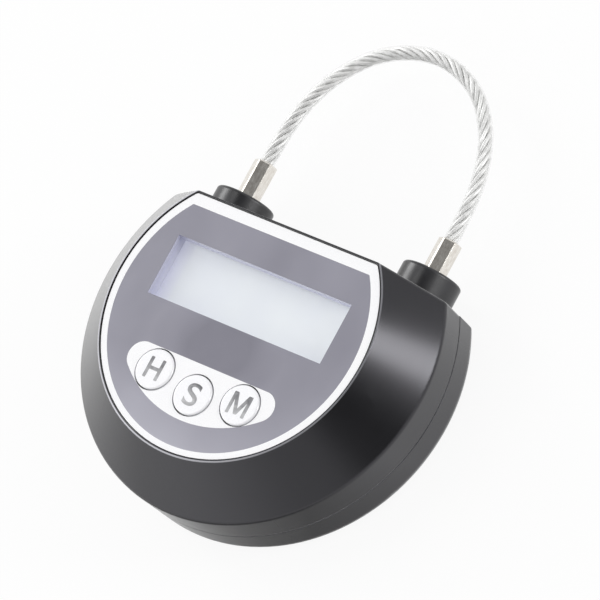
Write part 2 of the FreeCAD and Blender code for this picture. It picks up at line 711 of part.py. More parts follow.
def gear_motor():
    """The motor can with its end cap, the gearbox, the output shaft and the pinion on it."""
    def along(y):
        return ("motor_across", y, PINION_HEIGHT)

    across = (MOTOR_LEFT, MOTOR_RIGHT)
    levels = (MOTOR_FOOT, MOTOR_TOP)
    bearing = rod("gearbox_bearing", "shaft_radius + running_gap", "shaft_tail + wall",
                  along(f"{GEARBOX_FACE} - shaft_tail - running_gap"), TO_PLUS_Y)
    gearbox = cut("motor_gearbox", box("gearbox_block", across, (GEARBOX_BACK, GEARBOX_FACE), levels),
                  [bearing])
    can = common("motor_can", [
        rod("can_round", "motor_width / 2", "motor_length", along(CAN_BACK), TO_PLUS_Y),
        box("can_flats", across, (CAN_BACK, GEARBOX_BACK), levels)])
    cap = rod("motor_cap", "motor_height / 2", "motor_cap_length", along(f"{CAN_BACK} - motor_cap_length"),
              TO_PLUS_Y)
    pad = centred_box("motor_pad", "motor_across", "motor_pad_width", f"({CAN_BACK} + {GEARBOX_BACK}) / 2",
                      "motor_pad_length", (MOTOR_TOP, BOARD_FOOT))
    shaft = rod("motor_shaft", "shaft_radius", f"shaft_tail + latch_line + pinion_width / 2 - {GEARBOX_FACE}",
                along(f"{GEARBOX_FACE} - shaft_tail"), TO_PLUS_Y)
    return [can, cap, gearbox, pad, shaft, drive_pinion()]


def tooth(foot, pitch, foot_slope="1"):
    """The outline of a straight-sided tooth that stands on its foot across the pitch line."""
    half = f"({TOOTH_PITCH} / 4 - tooth_play)"
    slope = "tan(pressure_angle)"
    wide = f"({half} + ({pitch} - ({foot})) * {slope} * {foot_slope})"
    narrow = f"({half} - tooth_module * {slope})"
    tip = f"({pitch} + tooth_module)"
    return [(wide, foot), (half, pitch), (narrow, tip), (f"-{narrow}", tip), (f"-{half}", pitch),
            (f"-{wide}", foot)]


def drive_pinion():
    """A spur pinion on the shaft, whose lowest tooth stands in a gap of the rack."""
    body = doc.addObject("PartDesign::Body", "drive_pinion")
    root = f"({PINION_RADIUS} - tooth_foot)"
    disc = new_sketch(body, "pinion_disc", "XY_Plane")
    circle(disc, "0", "0", root)
    circle(disc, "0", "0", "shaft_radius + running_gap")
    feature(body, "Pad", "pinion_hub", disc, Length="pinion_width")
    profile = new_sketch(body, "pinion_tooth", "XY_Plane")
    outline(profile, [(across, f"-({level})") for across, level in
                      tooth(f"{root} - tooth_play", PINION_RADIUS, "root_relief")])
    first = feature(body, "Pad", "pinion_tooth_pad", profile, Length="pinion_width")
    ring = body.newObject("PartDesign::PolarPattern", "pinion_ring")
    ring.Originals = [first]
    ring.Axis = (origin_plane(body, "Z_Axis"), [""])
    ring.Angle = 360
    bind(ring, Occurrences="pinion_teeth")
    body.Tip = ring
    doc.recompute()
    return place(body, ("motor_across", "latch_line + pinion_width / 2", PINION_HEIGHT), TO_MINUS_Y)


def latch_plate():
    """The sliding plate: two keyhole slots for the shackle's pins, and the rack between them."""
    left_end = f"(-shackle_spread - latch_stroke - {LATCH_SLOT} - latch_margin)"
    left_inner = f"(-shackle_spread + {LATCH_HOLE} + latch_margin)"
    right_inner = f"(shackle_spread - latch_stroke - {LATCH_SLOT} - latch_margin)"
    right_end = f"(shackle_spread + {LATCH_HOLE} + latch_margin)"
    root = f"({RACK_LINE} - tooth_foot)"
    body = doc.addObject("PartDesign::Body", "latch_plate")
    blank = new_sketch(body, "latch_outline", "XY_Plane")
    outline(blank, [(left_end, LATCH_FOOT), (right_end, LATCH_FOOT), (right_end, LATCH_HEAD),
                    (right_inner, LATCH_HEAD), (right_inner, root), (left_inner, root),
                    (left_inner, LATCH_HEAD), (left_end, LATCH_HEAD)])
    feature(body, "Pad", "latch_blank", blank, Length="latch_sheet")
    profile = new_sketch(body, "rack_tooth", "XY_Plane")
    last = f"motor_across + {TOOTH_PITCH} * (teeth_ahead - 1 / 2)"
    outline(profile, [(f"{last} + ({across})", level) for across, level in
                      tooth(f"{root} - tooth_play", RACK_LINE)])
    first = feature(body, "Pad", "rack_tooth_pad", profile, Length="latch_sheet")
    rack = body.newObject("PartDesign::LinearPattern", "rack")
    rack.Originals = [first]
    rack.Direction = (origin_plane(body, "X_Axis"), [""])
    rack.Reversed = True
    bind(rack, Occurrences="rack_teeth", Length=f"{TOOTH_PITCH} * (rack_teeth - 1)")
    body.Tip = rack
    doc.recompute()
    holes = new_sketch(body, "latch_holes", "XY_Plane", "latch_sheet")
    for side in SIDES.values():
        circle(holes, f"{side} * shackle_spread", "parting_height", LATCH_HOLE)
    before = body.Shape.Volume
    feature(body, "Pocket", "latch_holes_cut", holes, Length="latch_sheet * 2")
    slots = new_sketch(body, "latch_slots", "XY_Plane", "latch_sheet")
    for side in SIDES.values():
        right = f"{side} * shackle_spread"
        left = f"{right} - latch_stroke - {LATCH_SLOT}"
        low, high = f"parting_height - {LATCH_SLOT}", f"parting_height + {LATCH_SLOT}"
        outline(slots, [(left, low), (right, low), (right, high), (left, high)])
    feature(body, "Pocket", "latch_slots_cut", slots, Length="latch_sheet * 2")
    assert body.Shape.Volume < before
    return place(body, ("0", "latch_line + latch_sheet / 2", "0"), TO_MINUS_Y)


def shackle_end(label, side):
    """Everything on one leg of the shackle: socket block, collar, pin and ferrule."""
    x = f"{side} * shackle_spread"
    foot = (x, "0", "parting_height")
    groove = (f"latch_line - {LATCH_GAP}", f"latch_line + {LATCH_GAP}")
    block = box(f"block_{label}_blank", (f"{x} - block_width / 2", f"{x} + block_width / 2"),
                ("block_foot", FLANGE_FOOT), ("wall", BLOCK_TOP))
    bore = rod(f"block_{label}_bore", "pin_radius + running_gap", FLAT_TOP,
               (x, f"{PIN_FOOT} - clear_gap", "parting_height"), TO_PLUS_Y)
    slot = box(f"block_{label}_slot", (f"{x} - block_width", f"{x} + block_width"), groove,
               (f"{LATCH_FOOT} - clear_gap", f"{LATCH_HEAD} + clear_gap"))
    flange = "(neck_radius + flange_reach)"
    collar = turned(f"collar_{label}", [
        (COLLAR_BORE, FLANGE_FOOT), (flange, FLANGE_FOOT), (flange, INNER_TOP), ("neck_radius", INNER_TOP),
        ("neck_radius", FLAT_TOP), ("collar_radius", FLAT_TOP), ("collar_radius", COLLAR_TOP),
        (COLLAR_BORE, COLLAR_TOP)])
    round_edges(collar, "collar_round", at_level(COLLAR_TOP, "collar_radius"))
    pin = turned(f"pin_{label}", [
        ("0", PIN_FOOT), ("pin_radius - pin_point", PIN_FOOT), ("pin_radius", f"{PIN_FOOT} + pin_point"),
        ("pin_radius", groove[0]), ("groove_core", groove[0]), ("groove_core", groove[1]),
        ("pin_radius", groove[1]), ("pin_radius", FERRULE_FOOT), ("spigot_radius", FERRULE_FOOT),
        ("spigot_radius", f"{FERRULE_FOOT} + spigot_length"), ("0", f"{FERRULE_FOOT} + spigot_length")])
    tube = doc.addObject("Part::Prism", f"ferrule_{label}_hexagon")
    tube.Polygon = 6
    bind(tube, Circumradius="ferrule_corner", Height="ferrule_length")
    place(tube, (x, FERRULE_FOOT, "parting_height"),
          TO_PLUS_Y.multiply(Rotation(Vector(0, 0, 1), value("ferrule_twist"))))
    rope_seat = rod(f"ferrule_{label}_rope_seat", "rope_radius + running_gap", "crimp_depth + wall",
                    (x, f"{FERRULE_TOP} - crimp_depth", "parting_height"), TO_PLUS_Y)
    pin_seat = rod(f"ferrule_{label}_pin_seat", "spigot_radius + running_gap",
                   "spigot_length + running_gap + wall", (x, f"{FERRULE_FOOT} - wall", "parting_height"),
                   TO_PLUS_Y)
    return [cut(f"socket_block_{label}", block, [bore, slot]), place(collar, foot, TO_PLUS_Y),
            place(pin, foot, TO_PLUS_Y), cut(f"ferrule_{label}", tube, [rope_seat, pin_seat])]


# The rope's route from the foot of the left ferrule's seat to the top of the arch: across, along.
ROPE_HALF = [(-21.3, 25.4), (-21.3, 36.0), (-20.2, 43.9), (-16.6, 51.9), (-10.0, 58.4)]
ROPE_ROUTE = ROPE_HALF + [(0.0, 61.3)] + [(-x, y) for x, y in reversed(ROPE_HALF)]


def shackle_rope():
    """A tube along straight runs joined by arcs as large as the runs allow."""
    level = value("parting_height")
    radius = value("rope_radius")
    points = [Vector(x, y, level) for x, y in ROPE_ROUTE]
    edges = []
    start = points[0]
    for before, corner, after in zip(points, points[1:], points[2:]):
        back = before - corner
        ahead = after - corner
        half_turn = (math.pi - back.getAngle(ahead)) / 2
        reach = 0.45 * min(back.Length, ahead.Length)
        bend = reach / math.tan(half_turn)
        print(f"rope bend at {corner.x:.1f}, {corner.y:.1f}: radius {bend:.1f} mm")
        first = corner + back.normalize() * reach
        last = corner + ahead.normalize() * reach
        inward = (back + ahead).normalize()
        middle = corner + inward * (bend / math.cos(half_turn) - bend)
        edges += [Part.LineSegment(start, first).toShape(), Part.Arc(first, middle, last).toShape()]
        start = last
    edges.append(Part.LineSegment(start, points[-1]).toShape())
    path = Part.Wire(edges)
    section = Part.Wire(Part.makeCircle(radius, points[0], points[1] - points[0]))
    tube = path.makePipeShell([section], True, False)
    expected = math.pi * radius ** 2 * path.Length
    print(f"rope length {path.Length:.2f} mm, volume {tube.Volume:.1f}, section times length {expected:.1f}")
    assert abs(tube.Volume / expected - 1) < 0.01
    rope = doc.addObject("Part::Feature", "shackle_rope")
    rope.Shape = tube
    return rope


def build():
    """Make every piece, test it and write one STEP file per node."""
    nodes = [front_shell(), back_shell(), case_screws(), front_panel(), *display(), *keys(), *main_board(),
             *charging_socket(), *battery(), *gear_motor(), latch_plate()]
    for label, side in SIDES.items():
        nodes += shackle_end(label, side)
    nodes.append(shackle_rope())
    doc.recompute()
    for piece in doc.Objects:
        assert not {"Invalid", "Error"} & set(piece.State), piece.Label
    os.makedirs("parts", exist_ok=True)
    for piece in nodes:
        assert not piece.Shape.isNull() and piece.Shape.isValid(), piece.Label
        piece.Shape.exportStep(f"parts/{piece.Label}.step")
        bounds = piece.Shape.BoundBox
        print(f"{piece.Label}: {len(piece.Shape.Solids)} solids, {piece.Shape.Volume:.1f} mm3, "
              f"x {bounds.XMin:.2f} {bounds.XMax:.2f} y {bounds.YMin:.2f} {bounds.YMax:.2f} "
              f"z {bounds.ZMin:.2f} {bounds.ZMax:.2f}")


build()
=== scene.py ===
"""Timer padlock: a round black case with a flat top, a printed front with a display and three keys,
and a coated wire-rope shackle. Z points out of the display and Y towards the shackle; the lock lies
on its flat back. Lengths are given in millimetres and turned to metres by MM."""
import json
import math

import bmesh
import bpy
from mathutils import Matrix, Vector


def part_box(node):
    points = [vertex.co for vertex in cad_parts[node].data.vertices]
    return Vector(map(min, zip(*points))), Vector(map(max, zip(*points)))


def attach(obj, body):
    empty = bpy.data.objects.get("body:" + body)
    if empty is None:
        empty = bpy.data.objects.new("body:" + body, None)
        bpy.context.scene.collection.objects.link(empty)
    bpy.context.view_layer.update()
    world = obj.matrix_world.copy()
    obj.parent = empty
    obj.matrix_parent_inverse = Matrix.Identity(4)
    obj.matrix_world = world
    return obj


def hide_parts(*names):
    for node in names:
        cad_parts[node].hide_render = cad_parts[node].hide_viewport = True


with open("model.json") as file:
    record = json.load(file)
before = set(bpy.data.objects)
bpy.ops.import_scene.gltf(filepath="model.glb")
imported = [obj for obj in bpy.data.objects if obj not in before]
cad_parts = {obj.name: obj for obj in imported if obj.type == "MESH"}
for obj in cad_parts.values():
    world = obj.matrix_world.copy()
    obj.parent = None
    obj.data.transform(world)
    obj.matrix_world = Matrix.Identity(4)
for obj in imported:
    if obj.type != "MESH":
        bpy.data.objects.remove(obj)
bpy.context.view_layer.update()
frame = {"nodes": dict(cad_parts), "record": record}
nodes = frame["nodes"]
MM = 0.001

# ---------------------------------------------------------------- shared sizes, in millimetres
PANEL_RADIUS = 27.04
PANEL_TOP = 17.78           # straight edge of the printed sheet
PANEL_CORNER = 0.8
FIELD_CENTRE = (-0.1, -0.35)   # the print sits a little off the sheet's middle
FIELD_RADIUS = 25.58
FIELD_TOP = 15.64
FIELD_CORNER = 0.45
KEY_FIELD_CENTRE = (-0.54, 2.9)
KEY_FIELD_RADIUS = 24.07
KEY_FIELD_TOP = -10.5
KEY_FIELD_CORNER = 2.9
KEY_HOLE_RADIUS = 4.05
KEYS = {"hour": (-10.2, -14.6), "set": (-0.5, -16.2), "minute": (9.2, -14.6)}   # middles of the caps
INK = 0.02                  # thickness of a printed layer
LETTER_HEIGHT = 4.2
LETTER_S = (2.95, 4.3)      # width and height
LETTER_EASE = 0.14          # round of the straight letters' corners
SHEET_FACE = 23.85          # the printed side of the sheet
RIM_TOP = 24.0              # the front shell's rim round the sheet
RIM_LINE = 27.39            # radius of the line in the rim past which a pale highlight is painted
PARTING_LEVEL = 8.0         # the seam between the shells
FERRULE_CORNER = 2.3        # from the ferrule's axis to the corners of its hexagon
FERRULE_FOOT = 21.2
FERRULE_LENGTH = {"left": 9.75, "right": 8.9}
FERRULE_TWIST = 24.0        # degrees that its flats are turned by
END_BEVEL = 0.28
EDGE_BEVEL = 0.16
MOUTH_INSET = 0.22
BORE_PLAY = 0.04            # between the rope and the bore
CRIMP_DEPTH = 5.4
ROPE_RADIUS = 1.4
SHACKLE_SPREAD = 21.3
SHACKLE_LEVEL = PARTING_LEVEL


def mm(*lengths):
    """Millimetres as a vector in metres."""
    return Vector(lengths) * MM


# ---------------------------------------------------------------- materials

def linear(text):
    """An sRGB hex colour as the linear values that Blender works in."""
    channels = [int(text[index:index + 2], 16) / 255 for index in (1, 3, 5)]
    return tuple(c / 12.92 if c <= 0.04045 else ((c + 0.055) / 1.055) ** 2.4 for c in channels) + (1.0,)


def link(tree, node, sockets):
    """Give a node's sockets plain values, outputs, or nodes, of which the first output in use is taken."""
    for name, value in sockets.items():
        if isinstance(value, bpy.types.Node):
            value = next(output for output in value.outputs if output.enabled)
        if isinstance(value, bpy.types.NodeSocket):
            tree.links.new(value, node.inputs[name])
        else:
            node.inputs[name].default_value = value


def add(tree, kind, sockets=None, stops=(), **settings):
    """Add a node with its settings, what its sockets get, and the places and colours of a ramp's stops."""
    made = tree.nodes.new(kind)
    for name, setting in settings.items():
        setattr(made, name, setting)
    for element, (position, colour) in zip(made.color_ramp.elements if stops else (), stops):
        element.position = position
        element.color = linear(colour)
    link(tree, made, sockets or {})
    return made


def begin(name, colour, roughness, sockets=None):
    """A material whose shader has these plain values."""
    material = bpy.data.materials.new(name)
    material.use_nodes = True
    tree = material.node_tree
    shader = tree.nodes["Principled BSDF"]
    link(tree, shader, {"Base Color": linear(colour), "Roughness": roughness, **(sockets or {})})
    return material, tree, shader


def place_in(tree, stretch=(1, 1, 1)):
    """Object coordinates in millimetres, stretched where a pattern runs one way."""
    where = add(tree, "ShaderNodeTexCoord").outputs["Object"]
    return add(tree, "ShaderNodeMapping", {
        "Vector": where, "Scale": tuple(1 / (MM * length) for length in stretch)})


NOISE_LOW, NOISE_HIGH = 0.3, 0.7    # between these lies nearly all of a noise
FROM_NOISE = {"From Min": NOISE_LOW, "From Max": NOISE_HIGH}


def satin_abs():
    """Black ABS from a turned, finely blasted mould: soft wide highlights with faint rings in them, a
    surface that pales at a low angle, a highlight painted pale on the rim round the printed sheet,
    and painted light that lifts the seam's shade towards the foot. The rings and the grit are drawn
    several times coarser than the mould's, so that they show."""
    ring_gap, handling, grit = 0.45, 9.0, 0.3
    material, tree, shader = begin("satin_abs", "#0C0C0E", 0.25, {
        "IOR": 1.6, "Sheen Weight": 1.0, "Sheen Roughness": 0.28, "Specular Tint": linear("#F8F7FF")})
    where = place_in(tree)
    parts = add(tree, "ShaderNodeSeparateXYZ", {"Vector": where})
    across, along, level = (parts.outputs[axis] for axis in "XYZ")
    flat = add(tree, "ShaderNodeCombineXYZ", {"X": across, "Y": along})
    reach = add(tree, "ShaderNodeVectorMath", {0: flat}, operation="LENGTH")
    turned = add(tree, "ShaderNodeCombineXYZ", {"X": reach, "Z": level})
    rings = add(tree, "ShaderNodeTexNoise", {"Vector": turned, "Scale": 1 / ring_gap, "Detail": 2.0})
    handled = add(tree, "ShaderNodeTexNoise", {"Vector": where, "Scale": 1 / handling, "Detail": 3.0})
    black = add(tree, "ShaderNodeValToRGB", {"Fac": handled},
                stops=((NOISE_LOW, "#0B0B0D"), (NOISE_HIGH, "#101012")))
    # the rim: its top face, outside a fine line, gets a painted highlight, paler at the left
    on_top = add(tree, "ShaderNodeMapRange", {
        "Value": level, "From Min": RIM_TOP - 0.12, "From Max": RIM_TOP - 0.05})
    outside = add(tree, "ShaderNodeMapRange", {
        "Value": reach, "From Min": RIM_LINE - 0.03, "From Max": RIM_LINE + 0.03})
    painted_rim_highlight = add(tree, "ShaderNodeMath", {0: on_top, 1: outside}, operation="MULTIPLY")
    sideways = add(tree, "ShaderNodeMapRange", {"Value": across, "From Min": -10.0, "From Max": 27.0})
    pale = add(tree, "ShaderNodeValToRGB", {"Fac": sideways}, stops=((0.0, "#C4C4CA"), (1.0, "#66666A")))
    black_and_painted_rim_highlight = add(tree, "ShaderNodeMix", {"Factor": painted_rim_highlight, "A": black, "B": pale}, data_type="RGBA")
    # the seam: dull, and painted paler towards the case's foot, as painted light that lifts its shade
    above = add(tree, "ShaderNodeMath", {0: level, 1: PARTING_LEVEL}, operation="SUBTRACT")
    away = add(tree, "ShaderNodeMath", {0: above}, operation="ABSOLUTE")
    seam = add(tree, "ShaderNodeMapRange", {
        "Value": away, "From Min": 0.15, "From Max": 0.25, "To Min": 1.0, "To Max": 0.0})
    upwards = add(tree, "ShaderNodeMapRange", {"Value": along, "From Min": -12.0, "From Max": -3.0})
    seam_painted_light = add(tree, "ShaderNodeValToRGB", {"Fac": upwards}, stops=((0.0, "#3E3E40"), (1.0, "#0B0B0D")))
    colour = add(tree, "ShaderNodeMix", {"Factor": seam, "A": black_and_painted_rim_highlight, "B": seam_painted_light}, data_type="RGBA")
    # an even gloss, uneven by a hair where rings and handling add up
    both = add(tree, "ShaderNodeMath", {0: rings, 1: handled}, operation="ADD")
    gloss = add(tree, "ShaderNodeMapRange", {
        "Value": both, "From Min": 0.7, "From Max": 1.3, "To Min": 0.235, "To Max": 0.255})
    dull = add(tree, "ShaderNodeMath", {0: seam, 1: 0.3}, operation="MULTIPLY")
    roughness = add(tree, "ShaderNodeMath", {0: gloss, 1: dull}, operation="ADD")
    blasted = add(tree, "ShaderNodeTexNoise", {"Vector": where, "Scale": 1 / grit, "Detail": 2.0})
    height = add(tree, "ShaderNodeMath", {0: blasted, 1: rings}, operation="ADD")
    relief = add(tree, "ShaderNodeBump", {"Height": height, "Strength": 1.0, "Distance": 0.0002 * MM})
    link(tree, shader, {"Base Color": colour, "Roughness": roughness, "Normal": relief})
    return material


def printed_gray():
    """Polycarbonate sheet, printed gray-violet on its face: glossy and cloudy, with painted light that
    makes it paler towards its foot and a painted shade under the window. Its cut edges are pale in the
    window and at the keys, and black outside."""
    cloud_width, gloss_width = 14.0, 3.0
    material, tree, shader = begin("printed_gray", "#93919E", 0.16, {
        "IOR": 1.58, "Coat Weight": 0.35, "Coat Roughness": 0.05})
    where = place_in(tree)
    parts = add(tree, "ShaderNodeSeparateXYZ", {"Vector": where})
    drawn = place_in(tree, (1.0, 1.6, 1.0))
    # the print's tone, from 0 for dark to 1 for pale: random clouds, painted light towards the foot and a
    # painted shade under the window
    painted_light_to_foot = add(tree, "ShaderNodeMapRange", {
        "Value": parts.outputs["Y"], "From Min": -26.0, "From Max": -12.0, "To Min": 0.72, "To Max": 0.34})
    clouds = add(tree, "ShaderNodeTexNoise", {"Vector": drawn, "Scale": 1 / cloud_width, "Detail": 1.5})
    cloudy = add(tree, "ShaderNodeMapRange", {"Value": clouds, **FROM_NOISE, "To Min": -0.15, "To Max": 0.15})
    uneven = add(tree, "ShaderNodeMath", {0: painted_light_to_foot, 1: cloudy}, operation="ADD")
    # painted shade: a darker patch under the window
    deep = add(tree, "ShaderNodeVectorMath", {0: place_in(tree, (1.6, 1.0, 1.0)), 1: (-0.6, -7.0, SHEET_FACE)},
               operation="DISTANCE")
    painted_shade_under_window = add(tree, "ShaderNodeMapRange", {
        "Value": deep, "From Min": 3.5, "From Max": 9.0, "To Min": -0.4, "To Max": 0.0})
    shade = add(tree, "ShaderNodeMath", {0: uneven, 1: painted_shade_under_window}, operation="ADD")
    face = add(tree, "ShaderNodeValToRGB", {"Fac": shade}, stops=((0.0, "#787783"), (0.9, "#A9A8B4")))
    # the cut edges
    below = add(tree, "ShaderNodeMath", {0: parts.outputs["Z"], 1: SHEET_FACE - 0.06}, operation="LESS_THAN")
    upwards = add(tree, "ShaderNodeMapRange", {"Value": parts.outputs["Y"], "From Min": -9.5, "From Max": -7.0})
    holes = add(tree, "ShaderNodeValToRGB", {"Fac": upwards}, stops=((0.0, "#F2F2F5"), (1.0, "#BDBDD0")))
    centre = add(tree, "ShaderNodeVectorMath", {0: where, 1: (0, 0, SHEET_FACE)}, operation="DISTANCE")
    round_edge = add(tree, "ShaderNodeMath", {0: centre, 1: PANEL_RADIUS - 0.9}, operation="GREATER_THAN")
    level_edge = add(tree, "ShaderNodeMath", {0: parts.outputs["Y"], 1: PANEL_TOP - 0.5},
                     operation="GREATER_THAN")
    outer = add(tree, "ShaderNodeMath", {0: round_edge, 1: level_edge}, operation="MAXIMUM")
    edges = add(tree, "ShaderNodeMix", {"Factor": outer, "A": holes, "B": linear("#101014")}, data_type="RGBA")
    colour = add(tree, "ShaderNodeMix", {"Factor": below, "A": face, "B": edges}, data_type="RGBA")
    patches = add(tree, "ShaderNodeTexNoise", {"Vector": drawn, "Scale": 1 / gloss_width, "Detail": 3.0})
    gloss = add(tree, "ShaderNodeMapRange", {"Value": patches, **FROM_NOISE, "To Min": 0.13, "To Max": 0.2})
    link(tree, shader, {"Base Color": colour, "Roughness": gloss})
    return material


def silver_ink():
    """Silver ink with a fine metal flake, nearly white under a clear top. The flake is drawn at 0.12 mm,
    several times its real size, so that it shows."""
    flake_width = 0.12
    material, tree, shader = begin("silver_ink", "#F0F0F2", 0.3, {
        "IOR": 1.5, "Coat Weight": 0.3, "Coat Roughness": 0.08})
    flake = add(tree, "ShaderNodeTexNoise", {
        "Vector": place_in(tree), "Scale": 1 / flake_width, "Detail": 1.0})
    colour = add(tree, "ShaderNodeValToRGB", {"Fac": flake},
                 stops=((NOISE_LOW, "#F0F0F2"), (NOISE_HIGH, "#FAFAFB")))
    gloss = add(tree, "ShaderNodeMapRange", {"Value": flake, **FROM_NOISE, "To Min": 0.24, "To Max": 0.38})
    link(tree, shader, {"Base Color": colour, "Roughness": gloss})
    return material


def key_paint():
    """Silver-white lacquer over moulded ABS caps: a clear shine with a slight orange peel, 0.8 mm wide as
    sprayed paint has it, over a flake that is drawn coarser than real."""
    flake_width, peel_width = 0.15, 0.8
    material, tree, shader = begin("key_paint", "#F0F0F2", 0.3, {
        "Metallic": 0.05, "Coat Weight": 0.4, "Coat Roughness": 0.12})
    where = place_in(tree)
    flake = add(tree, "ShaderNodeTexNoise", {"Vector": where, "Scale": 1 / flake_width, "Detail": 1.0})
    colour = add(tree, "ShaderNodeValToRGB", {"Fac": flake},
                 stops=((NOISE_LOW, "#EEEEF1"), (NOISE_HIGH, "#F8F8FA")))
    peel = add(tree, "ShaderNodeTexNoise", {"Vector": where, "Scale": 1 / peel_width, "Detail": 1.0})
    relief = add(tree, "ShaderNodeBump", {"Height": peel, "Strength": 1.0, "Distance": 0.003 * MM})
    link(tree, shader, {"Base Color": colour, "Normal": relief})
    return material


def legend_ink(key):
    """Pad-printed legend: matt gray ink, blotchy, with a painted reflection that makes it paler towards the
    foot of the letter.
    """
    blotch_width = 1.1
    top = KEYS[key][1] + LETTER_HEIGHT / 2
    # painted reflection: the letter pales towards its foot, the S the most
    foot_painted_reflection = 1.3 if key == "set" else 0.85
    material, tree, shader = begin(f"legend_ink_{key}", "#8B8B8F", 0.45)
    where = place_in(tree)
    row = add(tree, "ShaderNodeSeparateXYZ", {"Vector": where}).outputs["Y"]
    painted_reflection = add(tree, "ShaderNodeMapRange", {
        "Value": row, "From Min": top - LETTER_HEIGHT, "From Max": top, "To Min": foot_painted_reflection,
        "To Max": 0.1})
    blotches = add(tree, "ShaderNodeTexNoise", {"Vector": where, "Scale": 1 / blotch_width, "Detail": 2.0})
    blotchy = add(tree, "ShaderNodeMapRange", {
        "Value": blotches, **FROM_NOISE, "To Min": -0.25, "To Max": 0.25})
    reflection_and_blotches = add(tree, "ShaderNodeMath", {0: painted_reflection, 1: blotchy}, operation="ADD")
    colour = add(tree, "ShaderNodeValToRGB", {"Fac": reflection_and_blotches}, stops=((0.0, "#66666A"), (1.0, "#BCBCBE")))
    link(tree, shader, {"Base Color": colour})
    return material


def window_acrylic():
    """Clear cast acrylic: shows what is under it, and a thin reflection, a little uneven where it was
    wiped."""
    smear_width = 6.0
    material, tree, shader = begin("window_acrylic", "#F4F6FA", 0.03, {"IOR": 1.49, "Alpha": 0.05})
    smears = add(tree, "ShaderNodeTexNoise", {
        "Vector": place_in(tree), "Scale": 1 / smear_width, "Detail": 3.0})
    gloss = add(tree, "ShaderNodeMapRange", {"Value": smears, **FROM_NOISE, "To Min": 0.02, "To Max": 0.05})
    link(tree, shader, {"Roughness": gloss})
    return material


def blank_cell():
    """Liquid crystal cell with no segment on: a pale polariser over a milky light guide. A painted glow,
    its emission, lifts the shade of the recess, so that the cell's edges are hardly darker than its
    middle. A painted shadow of the frame's wall darkens a narrow strip at its left end."""
    cloud_width = 9.0
    # the emission is a painted glow, not a lamp
    material, tree, shader = begin("blank_cell", "#C8CCCF", 0.18, {
        "IOR": 1.5, "Coat Weight": 0.25, "Coat Roughness": 0.04, "Emission Color": linear("#EDF0F8"),
        "Emission Strength": 0.33})
    where = place_in(tree)
    across = add(tree, "ShaderNodeSeparateXYZ", {"Vector": where}).outputs["X"]
    along = add(tree, "ShaderNodeMapRange", {
        "Value": across, "From Min": -20.0, "From Max": 20.0, "To Min": NOISE_LOW, "To Max": NOISE_HIGH})
    clouds = add(tree, "ShaderNodeTexNoise", {"Vector": where, "Scale": 1 / cloud_width, "Detail": 1.0})
    cloudy = add(tree, "ShaderNodeMapRange", {"Value": clouds, **FROM_NOISE, "To Min": -0.2, "To Max": 0.2})
    tone = add(tree, "ShaderNodeMath", {0: along, 1: cloudy}, operation="ADD")
    clear = add(tree, "ShaderNodeValToRGB", {"Fac": tone},
                stops=((NOISE_LOW, "#BFC3C6"), (NOISE_HIGH, "#C5C9C9")))
    # painted shadow of the frame's wall on the cell's left end
    painted_wall_shadow = add(tree, "ShaderNodeMapRange", {
        "Value": across, "From Min": -19.4, "From Max": -16.9, "To Min": 1.0, "To Max": 0.0})
    colour = add(tree, "ShaderNodeMix", {"Factor": painted_wall_shadow, "A": clear, "B": linear("#BDBED0")},
                 data_type="RGBA")
    link(tree, shader, {"Base Color": colour})
    return material


def frame_abs():
    """White ABS of the display's frame, with a faint painted glow, and a painted violet shade that is darker
    near the print."""
    mottle_width = 1.5
    # the emission is a painted glow, not a lamp
    material, tree, shader = begin("frame_abs", "#D4D4E6", 0.4, {
        "Emission Color": linear("#CFCFE6"), "Emission Strength": 0.08})
    where = place_in(tree)
    level = add(tree, "ShaderNodeSeparateXYZ", {"Vector": where}).outputs["Z"]
    # painted shade: darker towards the print
    painted_shade_near_print = add(tree, "ShaderNodeMapRange", {
        "Value": level, "From Min": SHEET_FACE - 2.2, "From Max": SHEET_FACE - 1.0})
    mottle = add(tree, "ShaderNodeTexNoise", {"Vector": where, "Scale": 1 / mottle_width, "Detail": 3.0})
    mottled = add(tree, "ShaderNodeMapRange", {"Value": mottle, **FROM_NOISE, "To Min": -0.1, "To Max": 0.1})
    tone = add(tree, "ShaderNodeMath", {0: painted_shade_near_print, 1: mottled}, operation="ADD")
    colour = add(tree, "ShaderNodeValToRGB", {"Fac": tone}, stops=((0.0, "#C2C3D2"), (1.0, "#B0B1C6")))
    link(tree, shader, {"Base Color": colour})
    return material


def moulded(name, colours, roughness, patch=2.5, grain=0.2, sockets=None):
    """A moulded plastic part: two close tones, slightly uneven gloss and a blasted grain, which is drawn
    several times coarser than real, so that it shows."""
    material, tree, shader = begin(name, colours[0], roughness, sockets)
    where = place_in(tree)
    patches = add(tree, "ShaderNodeTexNoise", {"Vector": where, "Scale": 1 / patch, "Detail": 3.0})
    colour = add(tree, "ShaderNodeValToRGB", {"Fac": patches},
                 stops=((NOISE_LOW, colours[0]), (NOISE_HIGH, colours[1])))
    gloss = add(tree, "ShaderNodeMapRange", {
        "Value": patches, **FROM_NOISE, "To Min": roughness * 0.85, "To Max": roughness * 1.15})
    blasted = add(tree, "ShaderNodeTexNoise", {"Vector": where, "Scale": 1 / grain, "Detail": 2.0})
    relief = add(tree, "ShaderNodeBump", {"Height": blasted, "Strength": 1.0, "Distance": 0.004 * MM})
    link(tree, shader, {"Base Color": colour, "Roughness": gloss, "Normal": relief})
    return material


